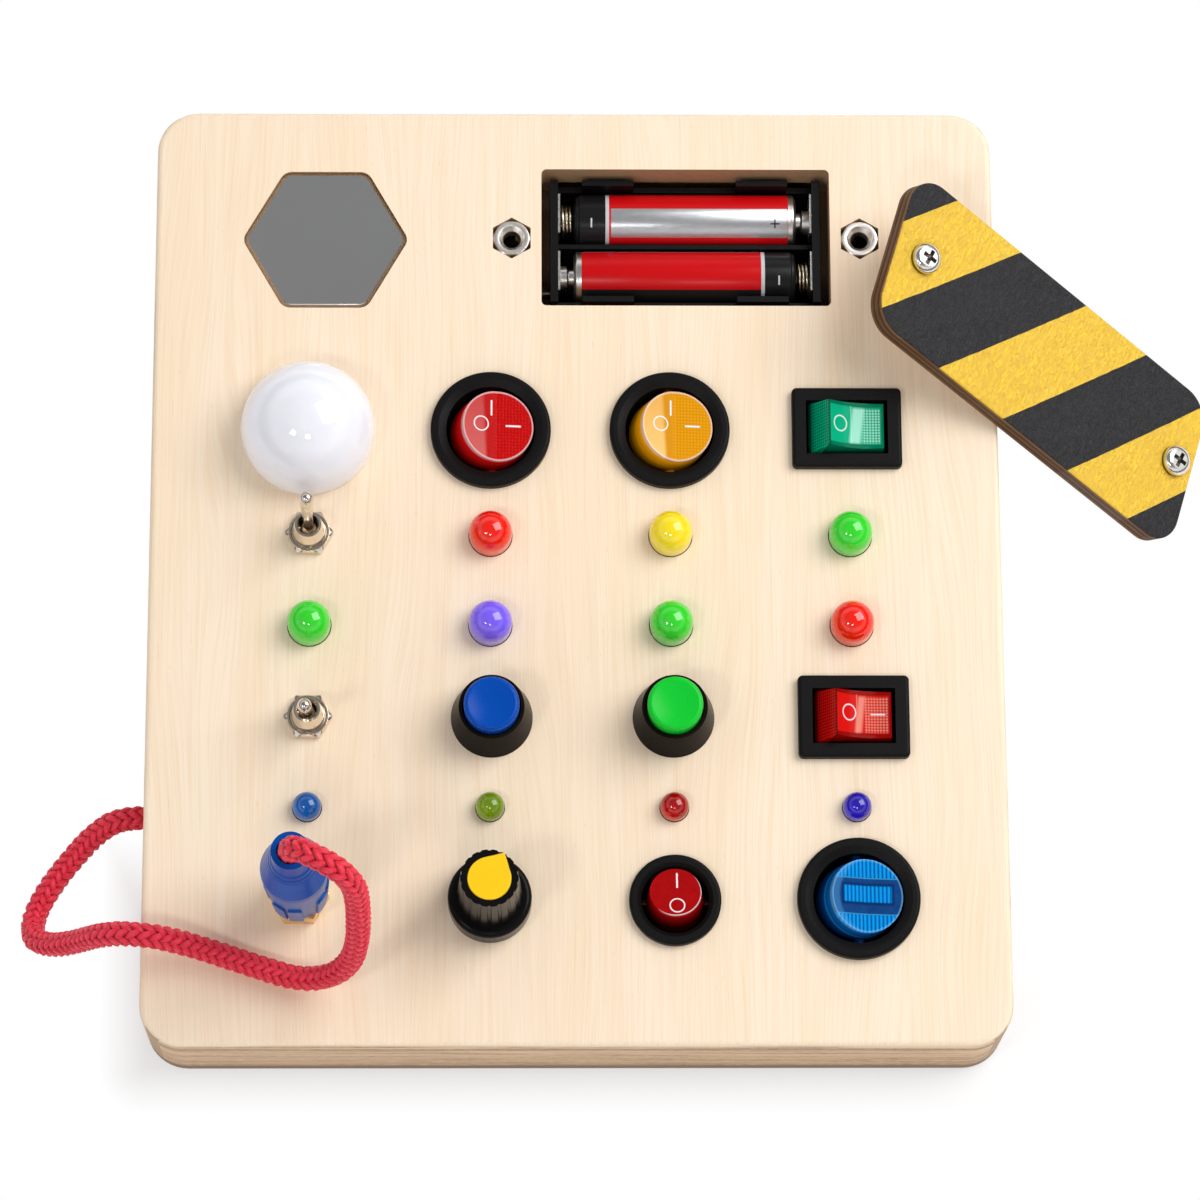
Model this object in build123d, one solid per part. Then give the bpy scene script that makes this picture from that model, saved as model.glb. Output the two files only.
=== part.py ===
from build123d import *
from math import cos, pi, radians, sin, sqrt, tan
import os

# A wooden busy board: a shallow ply tray with its face up, carrying switches, buttons, lamps,
# a knob, a jack plug on a rope, a mirror and an open battery bay, and the bay's striped cover
# leaning on its right-hand edge.
# Millimetres. Origin: centre of the underside. +X right, +Y far edge, +Z up.

# ---------------------------------------------------------------- layout
# Four columns of controls and, from the far edge: the battery bay, a first row, then five rows
# at one pitch. The board is as large as these and the margins around them make it.
left_margin = 30.6
column_pitch = 34.2
right_margin = 28.8
far_margin = 25.75      # far edge to the middle of the battery bay
bay_row_gap = 39.5      # bay to first row
first_row_gap = 21.2    # first row to second row
row_pitch = 17.7
near_margin = 27.25     # last row to the near edge
near_rows_shift = 0.3   # the last three rows' switches stand this far to the right
led_y_offset = 0.35     # the LEDs stand this far beyond their rows

# ---------------------------------------------------------------- board
board_width = left_margin + 3 * column_pitch + right_margin
board_depth = far_margin + bay_row_gap + first_row_gap + 4 * row_pitch + near_margin
board_thick = 22.0
plan_radius = 8.0
edge_radius = 1.2
face_thick = 4.0
wall_thick = 9.0
cavity_radius = 4.0
back_thick = 3.0

bay_row_y = board_depth / 2 - far_margin
first_row_y = bay_row_y - bay_row_gap
columns = [left_margin - board_width / 2 + column_pitch * i for i in range(4)]
rows = [first_row_y] + [first_row_y - first_row_gap - row_pitch * i for i in range(5)]
led_rows = [y + led_y_offset for y in rows]
near_columns = [x + near_rows_shift for x in columns]      # of the last three rows

fit_gap = 0.1       # a part in its hole in the wood
thread_gap = 0.05   # a nut on its thread
run_gap = 0.05      # a shaft turning or sliding in its bore

# ---------------------------------------------------------------- back screws
screw_shank_radius = 1.3
screw_head_radius = 2.5
screw_head_height = 1.4
screw_length = 14.0
screw_inset = 4.5   # from the outer edge to the middle of the wall

# ---------------------------------------------------------------- mirror
mirror_x_offset, mirror_y_offset = 2.2, -0.6     # from the first column and the bay's row
mirror_circumradius = 16.0
mirror_corner_radius = 2.5
mirror_thick = 2.0
mirror_bevel = 0.7
mirror_sink = 0.1

# ---------------------------------------------------------------- battery bay
bay_x_offset = 3.5          # from the third column
bay_end_gap = 1.75          # round the holder
bay_side_gap = 1.5
bay_corner_radius = 1.0
bay_wall_height = 7.0
bay_rim_width = 5.0
cell_diameter = 10.5
cell_can_length = 43.3
cell_nub_length = 1.2
cell_nub_radius = 1.9
cell_edge_radius = 0.6
cell_pitch = 11.8
cell_gap = 0.2
holder_y_offset = 0.5       # from the bay's row
holder_foot_height = 3.7
holder_foot_length = 8.0
holder_floor = 1.05
holder_side_wall = 1.15
holder_end_wall = 1.5
holder_height = 12.0        # end walls, above the feet
holder_rail_height = 8.0    # long walls, above the feet
holder_divider_rise = 2.0   # above the cells' axes
holder_clip_x = 15.0
holder_clip_length = 10.0
contact_thick = 0.4
contact_width = 8.0
contact_height = 7.0
spring_length = 2.6
contact_boss_length = 1.3   # where a nub rests
contact_boss_radius = 2.4
spring_radius = 3.0
spring_wire_radius = 0.25
spring_turns = 3
touch_gap = 0.1

# ---------------------------------------------------------------- bay cover and its fixings
insert_bay_gap = 5.75       # from the bay's end to the insert's centre
insert_y_offset = -0.2      # from the bay's row
insert_across_flats = 7.0
insert_height = 3.2
insert_bore_radius = 1.65
insert_pocket_gap = 0.15
insert_clear_radius = 2.1
cover_end_margin = 5.7      # from a screw to the cover's end
cover_width = 30.6
cover_skew = 6.5
cover_thick = 4.0
cover_sharp_radius = 5.2
cover_blunt_radius = 7.0
cover_hole_x_offset, cover_hole_y_offset = 0.9, 0.9      # from the cover's centre
cover_edge_radius = 0.4
cover_beyond_edge = 9.5    # cover's centre, past the board's right-hand side
cover_y_offset = -25.8     # from the bay's row
cover_above_top = 1.2      # cover's upper face centre, above the board's top
cover_turn, cover_pitch_angle, cover_roll = -30.4, 29.1, -6.8
cover_screw_radius = 1.6
cover_screw_reach = 3.0    # below the cover's underside
cover_screw_head_radius = 3.05
cover_screw_head_height = 1.9
cover_screw_recess = 1.1

# ---------------------------------------------------------------- lamp
globe_radius = 12.8
globe_wall = 1.0
globe_centre_height = 3.0
lamp_x_offset, lamp_y_offset = -0.6, -0.4
lamp_base_thick = 1.2
lamp_neck_radius = 8.0
lamp_neck_below = 4.0      # below the face
lamp_led_radius = 2.5
lamp_led_height = 5.5

# ---------------------------------------------------------------- toggle switches
toggle_case_length = 13.2
toggle_case_width = 8.0
toggle_case_height = 9.5
toggle_bush_radius = 3.15
toggle_bush_height = 3.0
toggle_nose_height = 3.7
toggle_nose_radius = 2.5
toggle_mouth_radius = 2.05
toggle_bore_radius = 1.8
toggle_ball_radius = 1.7
toggle_pivot_height = 3.7
toggle_throw = 8.5
toggle_waist_radius = 1.0
toggle_waist_length = 5.0
toggle_tip_radius = 1.35
toggle_lever_length = 13.3
toggle_tail_radius = 0.8
toggle_tail_length = 6.0
toggle_pin_radius = 0.5
toggle_pin_reach = 2.6
toggle_nut_flats = 8.0
toggle_nut_height = 2.0
toggle_upper_x_offset, toggle_upper_y_offset = -0.2, 0.6      # from its row and column

# ---------------------------------------------------------------- round rocker switches
round_flange_radius = 11.5
round_flange_height = 2.0
round_ring_radius = 10.0
round_barrel_radius = 9.9
round_bore_radius = 8.5
round_paddle_top_radius = 6.9
round_paddle_low_radius = 7.6
round_paddle_height = 6.0   # above the pivot
round_paddle_skirt = 1.5    # below the pivot
round_crease = 0.7
round_throw = 14.0
round_blue_y_offset = 0.5   # from its row
round_pin_radius = 1.0
round_pin_reach = 9.3
rocker_depth = 13.5         # below the board's top
rocker_floor = 1.5
rocker_pivot_drop = 2.0     # below the board's top
rocker_tail_radius = 1.2
rocker_tail_length = 6.0

# ---------------------------------------------------------------- square rocker switches
square_flange_length = 21.0
square_flange_width = 15.9
square_flange_height = 2.0
square_flange_corner = 1.0
square_body_length = 18.8
square_body_width = 13.1
square_wall_long = 1.6
square_wall_short = 1.2
square_side_gap = 0.25
square_ridge_x = 5.5
square_ridge_height = 6.2
square_dip = 1.2
square_end_x = 7.2
square_top_taper = 0.7      # a side, over the ridge's height
square_green_x_offset, square_green_y_offset = -0.3, 0.4    # from its row and column
square_throw = 16.0
square_pin_radius = 1.0
square_pin_bite = 0.9       # into the side wall

# ---------------------------------------------------------------- small round rocker switch
small_flange_radius = 8.6
small_y_offset = 0.2        # from its row
small_flange_height = 1.8
small_mouth_radius = 7.1
small_bore_radius = 6.3
small_barrel_radius = 7.5
small_depth = 11.5
small_paddle_top_radius = 4.8
small_paddle_low_radius = 5.65
small_paddle_height = 4.8
small_paddle_skirt = 1.2
small_throw = 14.0
small_pin_radius = 0.8
small_pin_reach = 6.9
small_tail_length = 5.0

# ---------------------------------------------------------------- push buttons
push_bezel_low_radius = 7.7
push_bezel_top_radius = 6.15
push_bezel_height = 8.5
push_mouth_radius = 5.5
push_mouth_floor = 0.5      # wide bore's floor, above the board's top
push_barrel_radius = 6.0
push_bore_radius = 4.5
push_bore_depth = 8.0
push_depth = 13.5
push_cap_radius = 5.2
push_cap_top = 11.5         # above the board's top, at rest
push_head_height = 6.5
push_cap_rim_radius = 0.8
push_cap_dish = 0.5
push_stem_radius = 1.5
push_stem_gap = 0.1
push_stem_depth = 10.5
push_travel = 2.0
push_spring_radius = 3.4
push_spring_wire = 0.3
push_spring_turns = 6
push_nut_flats = 14.0
push_nut_height = 2.5

# ---------------------------------------------------------------- potentiometer and knob
pot_radius = 8.0
pot_height = 8.5
pot_bush_radius = 3.5
pot_bush_height = 5.0
pot_shaft_radius = 3.0
pot_shaft_depth = 6.0       # below the face's underside
pot_nut_flats = 10.0
pot_nut_height = 2.2
knob_lift = 0.4             # skirt above the board's top
knob_skirt_radius = 7.8
knob_skirt_height = 5.2
knob_cone_radius = 6.1
knob_top_radius = 5.35
knob_height = 20.7
knob_flutes = 18
knob_flute_radius = 0.55
knob_flute_depth = 0.22
knob_shaft_cover = 3.0      # of wall between the shaft's end and the knob's top
knob_cap_radius = 4.05
knob_cap_thick = 0.8
knob_tip_radius = 0.55
knob_pointer_angle = -30.0  # from +Y, clockwise

# ---------------------------------------------------------------- lamps with leads
led_radius = 4.1
led_height = 6.7
led_rim_radius = 4.6
led_rim_height = 1.2
small_led_radius = 2.7
small_led_height = 4.0
small_led_rim_radius = 3.1
lead_radius = 0.25
lead_spacing = 2.54

# ---------------------------------------------------------------- wiring in the cavity
wire_radius = 0.6
wire_wall_gap = 8.0
wire_spacing = 3.0
wire_bend_radius = 1.2
wire_feed_offset = -6.5     # from the bay's row
wire_end_offset = 6.4       # from the first column
terminal_thick = 0.8
terminal_width = 3.0
terminal_lift = 0.4         # above the wires

# ---------------------------------------------------------------- socket and plug
socket_x_offset, socket_y_offset = -1.2, 0.8    # from the first column and the last row
socket_flats = 9.7
socket_head_height = 4.8
socket_barrel_radius = 3.0
socket_bore_radius = 2.05
socket_bore_depth = 20.0
socket_end_wall = 1.8
socket_nut_flats = 10.0
socket_nut_height = 2.5
plug_gap = 0.2              # sleeve above the socket's head
plug_pin_length = 19.0      # below the sleeve
plug_pin_root = 12.0        # inside the sleeve
plug_foot_radius = 5.05
plug_wide_radius = 6.1
plug_neck_radius = 3.6
plug_collar_radius = 3.5
plug_wide_height = 18.5     # heights above the sleeve's foot
plug_edge_height = 20.5
plug_neck_height = 30.0
plug_top_height = 34.7
plug_cord_depth = 1.8
plug_arch_turns = [-35, -2, 57, 90, 145, 178, 235, 268]     # degrees, from the near side
plug_arch_width = 2.7
plug_arch_height = 8.7
plug_arch_raise = 0.45

# ---------------------------------------------------------------- rope
rope_radius = 2.4
rope_hole_gap = 0.2
knot_radius = 4.0
rope_route = [
    (-81.0, -46.3, 11.0), (-85.6, -46.3, 11.0), (-90.4, -48.0, 7.6), (-95.2, -52.2, 4.2),
    (-99.8, -58.0, 3.4), (-103.0, -64.4, 3.5), (-102.2, -69.3, 7.2), (-97.4, -71.3, 12.8),
    (-92.2, -71.6, 19.0), (-87.4, -72.1, 27.3), (-80.9, -72.8, 30.9), (-74.4, -73.5, 28.8),
    (-67.4, -75.1, 25.7), (-59.3, -77.7, 24.8), (-51.0, -80.5, 25.8), (-45.0, -80.5, 29.5),
    (-41.3, -78.8, 35.5), (-40.0, -76.6, 43.1), (-39.6, -74.0, 51.8), (-39.7, -71.8, 59.2),
    (-40.4, -70.6, 64.6), (-42.4, -69.3, 67.8), (-46.0, -67.3, 69.1), (-49.7, -65.3, 67.8),
    (-51.6, -64.2, 64.2), (-51.6, -64.2, 59.9),
]

# ---------------------------------------------------------------- places worked out from them
top = board_thick
under_face = top - face_thick
mirror_x, mirror_y = columns[0] + mirror_x_offset, bay_row_y + mirror_y_offset
bay_x, bay_y = columns[2] + bay_x_offset, bay_row_y
insert_y = bay_row_y + insert_y_offset
cover_y = bay_row_y + cover_y_offset
socket_x, socket_y = columns[0] + socket_x_offset, rows[5] + socket_y_offset
wire_outer_x = board_width / 2 - wall_thick - wire_wall_gap
wire_inner_x = wire_outer_x - wire_spacing
wire_feed_y = bay_row_y + wire_feed_offset
wire_end_x = columns[0] + wire_end_offset
rope_exit_y, rope_exit_z = rope_route[0][1:]
wire_z = back_thick + wire_radius
terminal_z = back_thick + 2 * wire_radius + terminal_lift
lamp_place = (columns[0] + lamp_x_offset, rows[0] + lamp_y_offset)
round_rockers = {
    "red": (columns[1], rows[0]),
    "amber": (columns[2], rows[0]),
    "blue": (near_columns[3], rows[5] + round_blue_y_offset),
}
square_rockers = {
    "green": (columns[3] + square_green_x_offset, rows[0] + square_green_y_offset),
    "red": (columns[3], rows[3]),
}
small_rocker_place = (near_columns[2], rows[5] + small_y_offset)
toggles = {
    "upper": (columns[0] + toggle_upper_x_offset, rows[1] + toggle_upper_y_offset),
    "lower": (columns[0], rows[3]),
}
push_buttons = {"blue": (near_columns[1], rows[3]), "green": (near_columns[2], rows[3])}
knob_place = (columns[1], rows[5])
big_leds = {
    "leds_red": [(columns[1], led_rows[1]), (columns[3], led_rows[2])],
    "led_yellow": [(columns[2], led_rows[1])],
    "leds_green": [(columns[3], led_rows[1]), (columns[0], led_rows[2]), (columns[2], led_rows[2])],
    "led_purple": [(columns[1], led_rows[2])],
}
small_leds = {
    "led_small_blue": [(columns[0], led_rows[4])],
    "led_small_lime": [(columns[1], led_rows[4])],
    "led_small_red": [(near_columns[2], led_rows[4])],
    "led_small_violet": [(near_columns[3], led_rows[4])],
}
cell_length = cell_can_length + cell_nub_length
holder_inner = cell_length + spring_length + contact_boss_length + 2 * contact_thick + 2 * touch_gap
holder_length = holder_inner + 2 * holder_end_wall
trough_radius = cell_diameter / 2 + cell_gap
holder_width = cell_pitch + 2 * trough_radius + 2 * holder_side_wall
cell_axis_z = back_thick + holder_foot_height + holder_floor + trough_radius
holder_y = bay_row_y + holder_y_offset
bay_length = holder_length + 2 * bay_end_gap
bay_width = holder_width + 2 * bay_side_gap
insert_spacing = bay_length + 2 * insert_bay_gap
inserts = [(bay_x + side * insert_spacing / 2, insert_y) for side in (-1, 1)]
cover_length = insert_spacing + 2 * cover_end_margin

parts = {}


# ---------------------------------------------------------------- helpers
def cyl(radius, z0, z1, x=0.0, y=0.0):
    return Pos(x, y, (z0 + z1) / 2) * Cylinder(radius, z1 - z0)


def block(x0, x1, y0, y1, z0, z1):
    return Pos((x0 + x1) / 2, (y0 + y1) / 2, (z0 + z1) / 2) * Box(x1 - x0, y1 - y0, z1 - z0)


def hexagon(flats, z0, z1, x=0.0, y=0.0, turn=0.0):
    face = RegularPolygon(flats / 2, 6, major_radius=False, rotation=turn)
    return Pos(x, y, z0) * extrude(face, z1 - z0)


def lathe(points):
    """A solid of revolution about Z from (radius, height) points."""
    return revolve(Plane.XZ * make_face(Polyline(*points, close=True)), Axis.Z)


def along_y(radius, y0, y1):
    return Pos(0, (y0 + y1) / 2, 0) * Rot(90, 0, 0) * Cylinder(radius, y1 - y0)


def along_x(radius, x0, x1):
    return Pos((x0 + x1) / 2, 0, 0) * Rot(0, 90, 0) * Cylinder(radius, x1 - x0)


def coil(radius, wire, length, turns):
    """A coil spring about Z that stands on z = 0 and is `length` tall over the wire."""
    height = length - 2 * wire
    path = Helix(height / turns, height, radius)
    spring = sweep(Plane(path ^ 0) * Circle(wire), path=path, is_frenet=True)
    return Pos(0, 0, wire) * spring


def group(shapes):
    return Compound(children=[s for shape in shapes for s in shape.solids()])


def board_slab(inset, radius, z0, z1):
    plan = RectangleRounded(board_width - 2 * inset, board_depth - 2 * inset, radius)
    return Pos(0, 0, z0) * extrude(plan, z1 - z0)


def screw_places():
    wall_x = board_width / 2 - screw_inset
    wall_y = board_depth / 2 - screw_inset
    corner = (plan_radius - screw_inset) * (1 - cos(pi / 4))
    corners = [(sx * (wall_x - corner), sy * (wall_y - corner)) for sx in (-1, 1) for sy in (-1, 1)]
    return corners + [(wall_x, 0), (-wall_x, 0), (0, wall_y), (0, -wall_y)]


# ---------------------------------------------------------------- board
def mirror_plan(gap):
    hexa = RegularPolygon(mirror_circumradius + gap, 6)
    return fillet(hexa.vertices(), mirror_corner_radius)


def face_holes():
    """Everything that is cut through or into the board's face."""
    cuts = []
    mirror_floor = top - mirror_thick - mirror_sink
    cuts.append(Pos(mirror_x, mirror_y, mirror_floor) * extrude(mirror_plan(fit_gap), top - mirror_floor))
    bay = RectangleRounded(bay_length, bay_width, bay_corner_radius)
    cuts.append(Pos(bay_x, bay_y, top - bay_wall_height) * extrude(bay, bay_wall_height))
    for x, y in inserts:
        pocket = insert_across_flats + 2 * insert_pocket_gap
        cuts.append(hexagon(pocket, top - insert_height, top, x, y, 30))
        cuts.append(cyl(insert_clear_radius, top - bay_wall_height, top, x, y))
    round_holes = [(lamp_place, lamp_neck_radius), (small_rocker_place, small_barrel_radius)]
    round_holes += [(place, round_barrel_radius) for place in round_rockers.values()]
    round_holes += [(place, toggle_bush_radius) for place in toggles.values()]
    round_holes += [(place, push_barrel_radius) for place in push_buttons.values()]
    round_holes += [(place, led_radius) for group_ in big_leds.values() for place in group_]
    round_holes += [(place, small_led_radius) for group_ in small_leds.values() for place in group_]
    round_holes += [(knob_place, pot_bush_radius), ((socket_x, socket_y), socket_barrel_radius)]
    cuts += [cyl(radius + fit_gap, under_face, top, *place) for place, radius in round_holes]
    for x, y in square_rockers.values():
        half_x = square_body_length / 2 + fit_gap
        half_y = square_body_width / 2 + fit_gap
        cuts.append(block(x - half_x, x + half_x, y - half_y, y + half_y, under_face, top))
    return cuts


def make_carcass():
    slab = board_slab(0, plan_radius, back_thick, top)
    slab = fillet(slab.faces().sort_by(Axis.Z)[-1].edges(), edge_radius)
    tray = slab - board_slab(wall_thick, cavity_radius, back_thick, under_face)
    rim = RectangleRounded(
        bay_length + 2 * bay_rim_width, bay_width + 2 * bay_rim_width, bay_corner_radius + bay_rim_width
    )
    rim_bottom = top - bay_wall_height
    rim_solid = Pos(bay_x, bay_y, rim_bottom) * extrude(rim, under_face - rim_bottom)
    tray = tray + (rim_solid & board_slab(wall_thick / 2, cavity_radius, 0, top))
    tray = tray - face_holes()
    pilots = [cyl(screw_shank_radius + thread_gap, back_thick, screw_length, x, y) for x, y in screw_places()]
    hole = Pos(0, rope_exit_y, rope_exit_z) * along_x(
        rope_radius + rope_hole_gap, -board_width / 2, wall_thick - board_width / 2
    )
    return tray - pilots - hole


def countersink(gap):
    """The screw's head and shank as far as the back reaches."""
    head = screw_head_radius + gap
    neck = screw_shank_radius + gap
    return lathe([(0, 0), (head, 0), (neck, screw_head_height), (neck, back_thick), (0, back_thick)])


def make_back():
    back = board_slab(0, plan_radius, 0, back_thick)
    return back - [Pos(x, y, 0) * countersink(thread_gap) for x, y in screw_places()]


def make_back_screw():
    tip = screw_shank_radius
    body = lathe([
        (0, 0), (screw_head_radius, 0), (screw_shank_radius, screw_head_height),
        (screw_shank_radius, screw_length - tip), (0, screw_length),
    ])
    slot = Box(screw_head_radius * 1.2, screw_head_height / 2, screw_head_height)
    return body - [slot, Rot(0, 0, 90) * slot]


def make_mirror():
    glass = extrude(mirror_plan(0), mirror_thick)
    glass = chamfer(glass.faces().sort_by(Axis.Z)[-1].edges(), mirror_bevel)
    return Pos(mirror_x, mirror_y, top - mirror_thick - mirror_sink) * glass


# ---------------------------------------------------------------- battery bay
def cell_frame(side):
    """Where a cell's nub end meets its contact; the far cell (side 1) points right."""
    turn = 0 if side > 0 else 180
    return Pos(bay_x, holder_y + side * cell_pitch / 2, cell_axis_z) * Rot(0, 0, turn)


def make_cell(side):
    nub_end = holder_inner / 2 - contact_thick - contact_boss_length - touch_gap
    can_end = nub_end - cell_nub_length
    can = along_x(cell_diameter / 2, can_end - cell_can_length, can_end)
    can = fillet(can.edges().filter_by(GeomType.CIRCLE), cell_edge_radius)
    return cell_frame(side) * (can + along_x(cell_nub_radius, can_end, nub_end))


def make_holder():
    z0 = back_thick + holder_foot_height
    z1 = z0 + holder_height
    half_x = holder_length / 2
    half_y = holder_width / 2
    half_inner, half_clip = holder_inner / 2, holder_clip_length / 2
    gaps = [-half_inner, -holder_clip_x - half_clip, half_clip - holder_clip_x]
    gaps += [holder_clip_x - half_clip, holder_clip_x + half_clip, half_inner]
    tray = block(-half_x, half_x, -half_y, half_y, z0, z1)
    for side in (-1, 1):
        y = side * cell_pitch / 2
        tray = tray - Pos(0, y, cell_axis_z) * along_x(trough_radius, -half_inner, half_inner)
        tray = tray - block(-half_inner, half_inner, y - trough_radius, y + trough_radius, cell_axis_z, z1)
        rail = sorted((side * half_y, side * (half_y - 2 * holder_side_wall)))
        for x0, x1 in zip(gaps[::2], gaps[1::2]):
            tray = tray - block(x0, x1, *rail, z0 + holder_rail_height, z1)
    divider_top = cell_axis_z + holder_divider_rise
    tray = tray - block(-half_inner, half_inner, -trough_radius, trough_radius, divider_top, z1)
    for x0 in (-half_x, half_x - holder_foot_length):
        for y0 in (-half_y, half_y - holder_foot_length):
            tray = tray + block(x0, x0 + holder_foot_length, y0, y0 + holder_foot_length, back_thick, z0)
    return Pos(bay_x, holder_y, 0) * tray


def make_contacts():
    plates = []
    for side in (-1, 1):
        for end in (-1, 1):
            x = end * (holder_inner / 2 - contact_thick / 2)
            plate = Pos(x, 0, contact_height / 5) * Box(contact_thick, contact_width, contact_height)
            if end > 0:
                inner = x - contact_thick / 2
                plate = plate + along_x(contact_boss_radius, inner - contact_boss_length, inner)
            plates.append(cell_frame(side) * plate)
    return group(plates)


def make_battery_springs():
    start = -holder_inner / 2 + contact_thick
    spring = coil(spring_radius, spring_wire_radius, spring_length, spring_turns)
    return group([cell_frame(side) * Pos(start, 0, 0) * Rot(0, 90, 0) * spring for side in (-1, 1)])


# ---------------------------------------------------------------- cover
def make_insert(x, y):
    nut = hexagon(insert_across_flats, top - insert_height, top, x, y, 30)
    return nut - cyl(insert_bore_radius, top - insert_height, top, x, y)


def cover_frame():
    place = Pos(board_width / 2 + cover_beyond_edge, cover_y, top + cover_above_top)
    return place * Rot(0, 0, cover_turn) * Rot(0, cover_pitch_angle, 0) * Rot(cover_roll, 0, 0)


def make_cover():
    half_l, half_w, half_s = cover_length / 2, cover_width / 2, cover_skew / 2
    plan = make_face(Polyline(
        (-half_l - half_s, half_w), (-half_l + half_s, -half_w),
        (half_l + half_s, -half_w), (half_l - half_s, half_w), close=True,
    ))
    blunt = [v for v in plan.vertices() if v.X * v.Y > 0]
    plan = fillet(blunt, cover_blunt_radius)
    sharp = [v for v in plan.vertices() if abs(v.X) > half_l]
    plan = fillet(sharp, cover_sharp_radius)
    plate = Pos(0, 0, -cover_thick) * extrude(plan, cover_thick)
    plate = fillet(plate.faces().sort_by(Axis.Z)[-1].edges(), cover_edge_radius)
    for side in (-1, 1):
        x = cover_hole_x_offset + side * insert_spacing / 2
        plate = plate - cyl(cover_screw_radius + run_gap, -cover_thick, 0, x, cover_hole_y_offset)
    return cover_frame() * plate


def make_cover_screw(side):
    head = cyl(cover_screw_head_radius, 0, cover_screw_head_height)
    head = fillet(head.faces().sort_by(Axis.Z)[-1].edges(), cover_screw_head_height * 0.7)
    shank = cyl(cover_screw_radius, -cover_thick - cover_screw_reach, 0)
    shank = chamfer(shank.faces().sort_by(Axis.Z)[0].edges(), cover_screw_radius / 3)
    slot = Box(cover_screw_head_radius, cover_screw_radius / 2, 2 * cover_screw_recess)
    cross = Pos(0, 0, cover_screw_head_height) * (slot + Rot(0, 0, 90) * slot)
    x = cover_hole_x_offset + side * insert_spacing / 2
    return cover_frame() * Pos(x, cover_hole_y_offset, 0) * (head + shank - cross)


# ---------------------------------------------------------------- lamp
def make_globe():
    shell = Sphere(globe_radius) - Sphere(globe_radius - globe_wall)
    reach = 2 * globe_radius
    above = Pos(0, 0, reach / 2 - globe_centre_height) * Box(reach, reach, reach)
    return Pos(*lamp_place, top + globe_centre_height) * (shell & above)


def make_lamp_base():
    inner = sqrt((globe_radius - globe_wall) ** 2 - globe_centre_height ** 2)
    disc = cyl(inner - thread_gap * 4, 0, lamp_base_thick)
    neck = cyl(lamp_neck_radius, -face_thick - lamp_neck_below, 0)
    return Pos(*lamp_place, top) * (disc + neck)


def make_lamp_led():
    lens = cyl(lamp_led_radius, 0, lamp_led_height - lamp_led_radius)
    lens = lens + Pos(0, 0, lamp_led_height - lamp_led_radius) * Sphere(lamp_led_radius)
    return Pos(*lamp_place, top + lamp_base_thick) * (lens & cyl(2 * lamp_led_radius, 0, lamp_led_height))


# ---------------------------------------------------------------- toggle switches
def make_toggle_case(x, y):
    case = block(
        -toggle_case_width / 2, toggle_case_width / 2, -toggle_case_length / 2, toggle_case_length / 2,
        under_face - toggle_case_height, under_face,
    )
    bush_top = top + toggle_bush_height
    mouth = bush_top + toggle_nose_height
    bush = lathe([
        (0, under_face), (toggle_bush_radius, under_face), (toggle_bush_radius, bush_top),
        (toggle_nose_radius, mouth), (0, mouth),
    ])
    pivot = top + toggle_pivot_height
    well = pivot - toggle_tail_length - toggle_pin_radius
    bore = lathe([
        (0, well), (toggle_mouth_radius + toggle_pin_radius / 2, well),
        (toggle_bore_radius, pivot - toggle_bore_radius), (toggle_bore_radius, pivot + toggle_bore_radius),
        (toggle_mouth_radius, mouth), (0, mouth),
    ])
    reach = toggle_pin_reach + run_gap
    pin_hole = Pos(0, 0, pivot) * along_x(toggle_pin_radius + run_gap, -reach, reach)
    return Pos(x, y, 0) * (case + bush - bore - pin_hole)


def make_toggle_nut(x, y):
    nut = hexagon(toggle_nut_flats, 0, toggle_nut_height, turn=0)
    corner = toggle_nut_flats / 2
    bevel = lathe([
        (0, 0), (corner / cos(pi / 6), 0), (corner / cos(pi / 6), toggle_nut_height * 0.8),
        (corner * 0.96, toggle_nut_height), (0, toggle_nut_height),
    ])
    nut = (nut & bevel) - cyl(toggle_bush_radius + thread_gap, 0, toggle_nut_height)
    return Pos(x, y, top) * nut


def make_toggle_lever(place, tilt):
    waist_start = toggle_ball_radius / 2
    stick = lathe([
        (0, waist_start), (toggle_waist_radius, waist_start), (toggle_waist_radius, toggle_waist_length),
        (toggle_tip_radius, toggle_lever_length), (0, toggle_lever_length),
    ])
    lever = Sphere(toggle_ball_radius) + stick + Pos(0, 0, toggle_lever_length) * Sphere(toggle_tip_radius)
    lever = lever + cyl(toggle_tail_radius, -toggle_tail_length, 0)
    lever = lever + along_x(toggle_pin_radius, -toggle_pin_reach, toggle_pin_reach)
    return Pos(*place, top + toggle_pivot_height) * Rot(tilt, 0, 0) * lever


# ---------------------------------------------------------------- rocker switches
def pivot_at(place):
    return Pos(*place, top - rocker_pivot_drop)


def make_round_housing(place):
    mouth = top + round_flange_height
    shell = lathe([
        (0, top - rocker_depth), (round_barrel_radius, top - rocker_depth), (round_barrel_radius, top),
        (round_flange_radius, top), (round_flange_radius, mouth), (round_ring_radius, mouth),
        (round_bore_radius, mouth - round_flange_height / 3),
        (round_bore_radius, top - rocker_depth + rocker_floor), (0, top - rocker_depth + rocker_floor),
    ])
    rim = shell.edges().filter_by(GeomType.CIRCLE).group_by(Axis.Z)[-1].sort_by(SortBy.RADIUS)[-1]
    shell = fillet(rim, round_flange_height / 3)
    reach = round_pin_reach + run_gap
    holes = Pos(0, 0, top - rocker_pivot_drop) * along_y(round_pin_radius + run_gap, -reach, reach)
    bore = cyl(round_bore_radius, top - rocker_depth + rocker_floor, top)
    return Pos(*place, 0) * (shell - (holes - bore))


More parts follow.
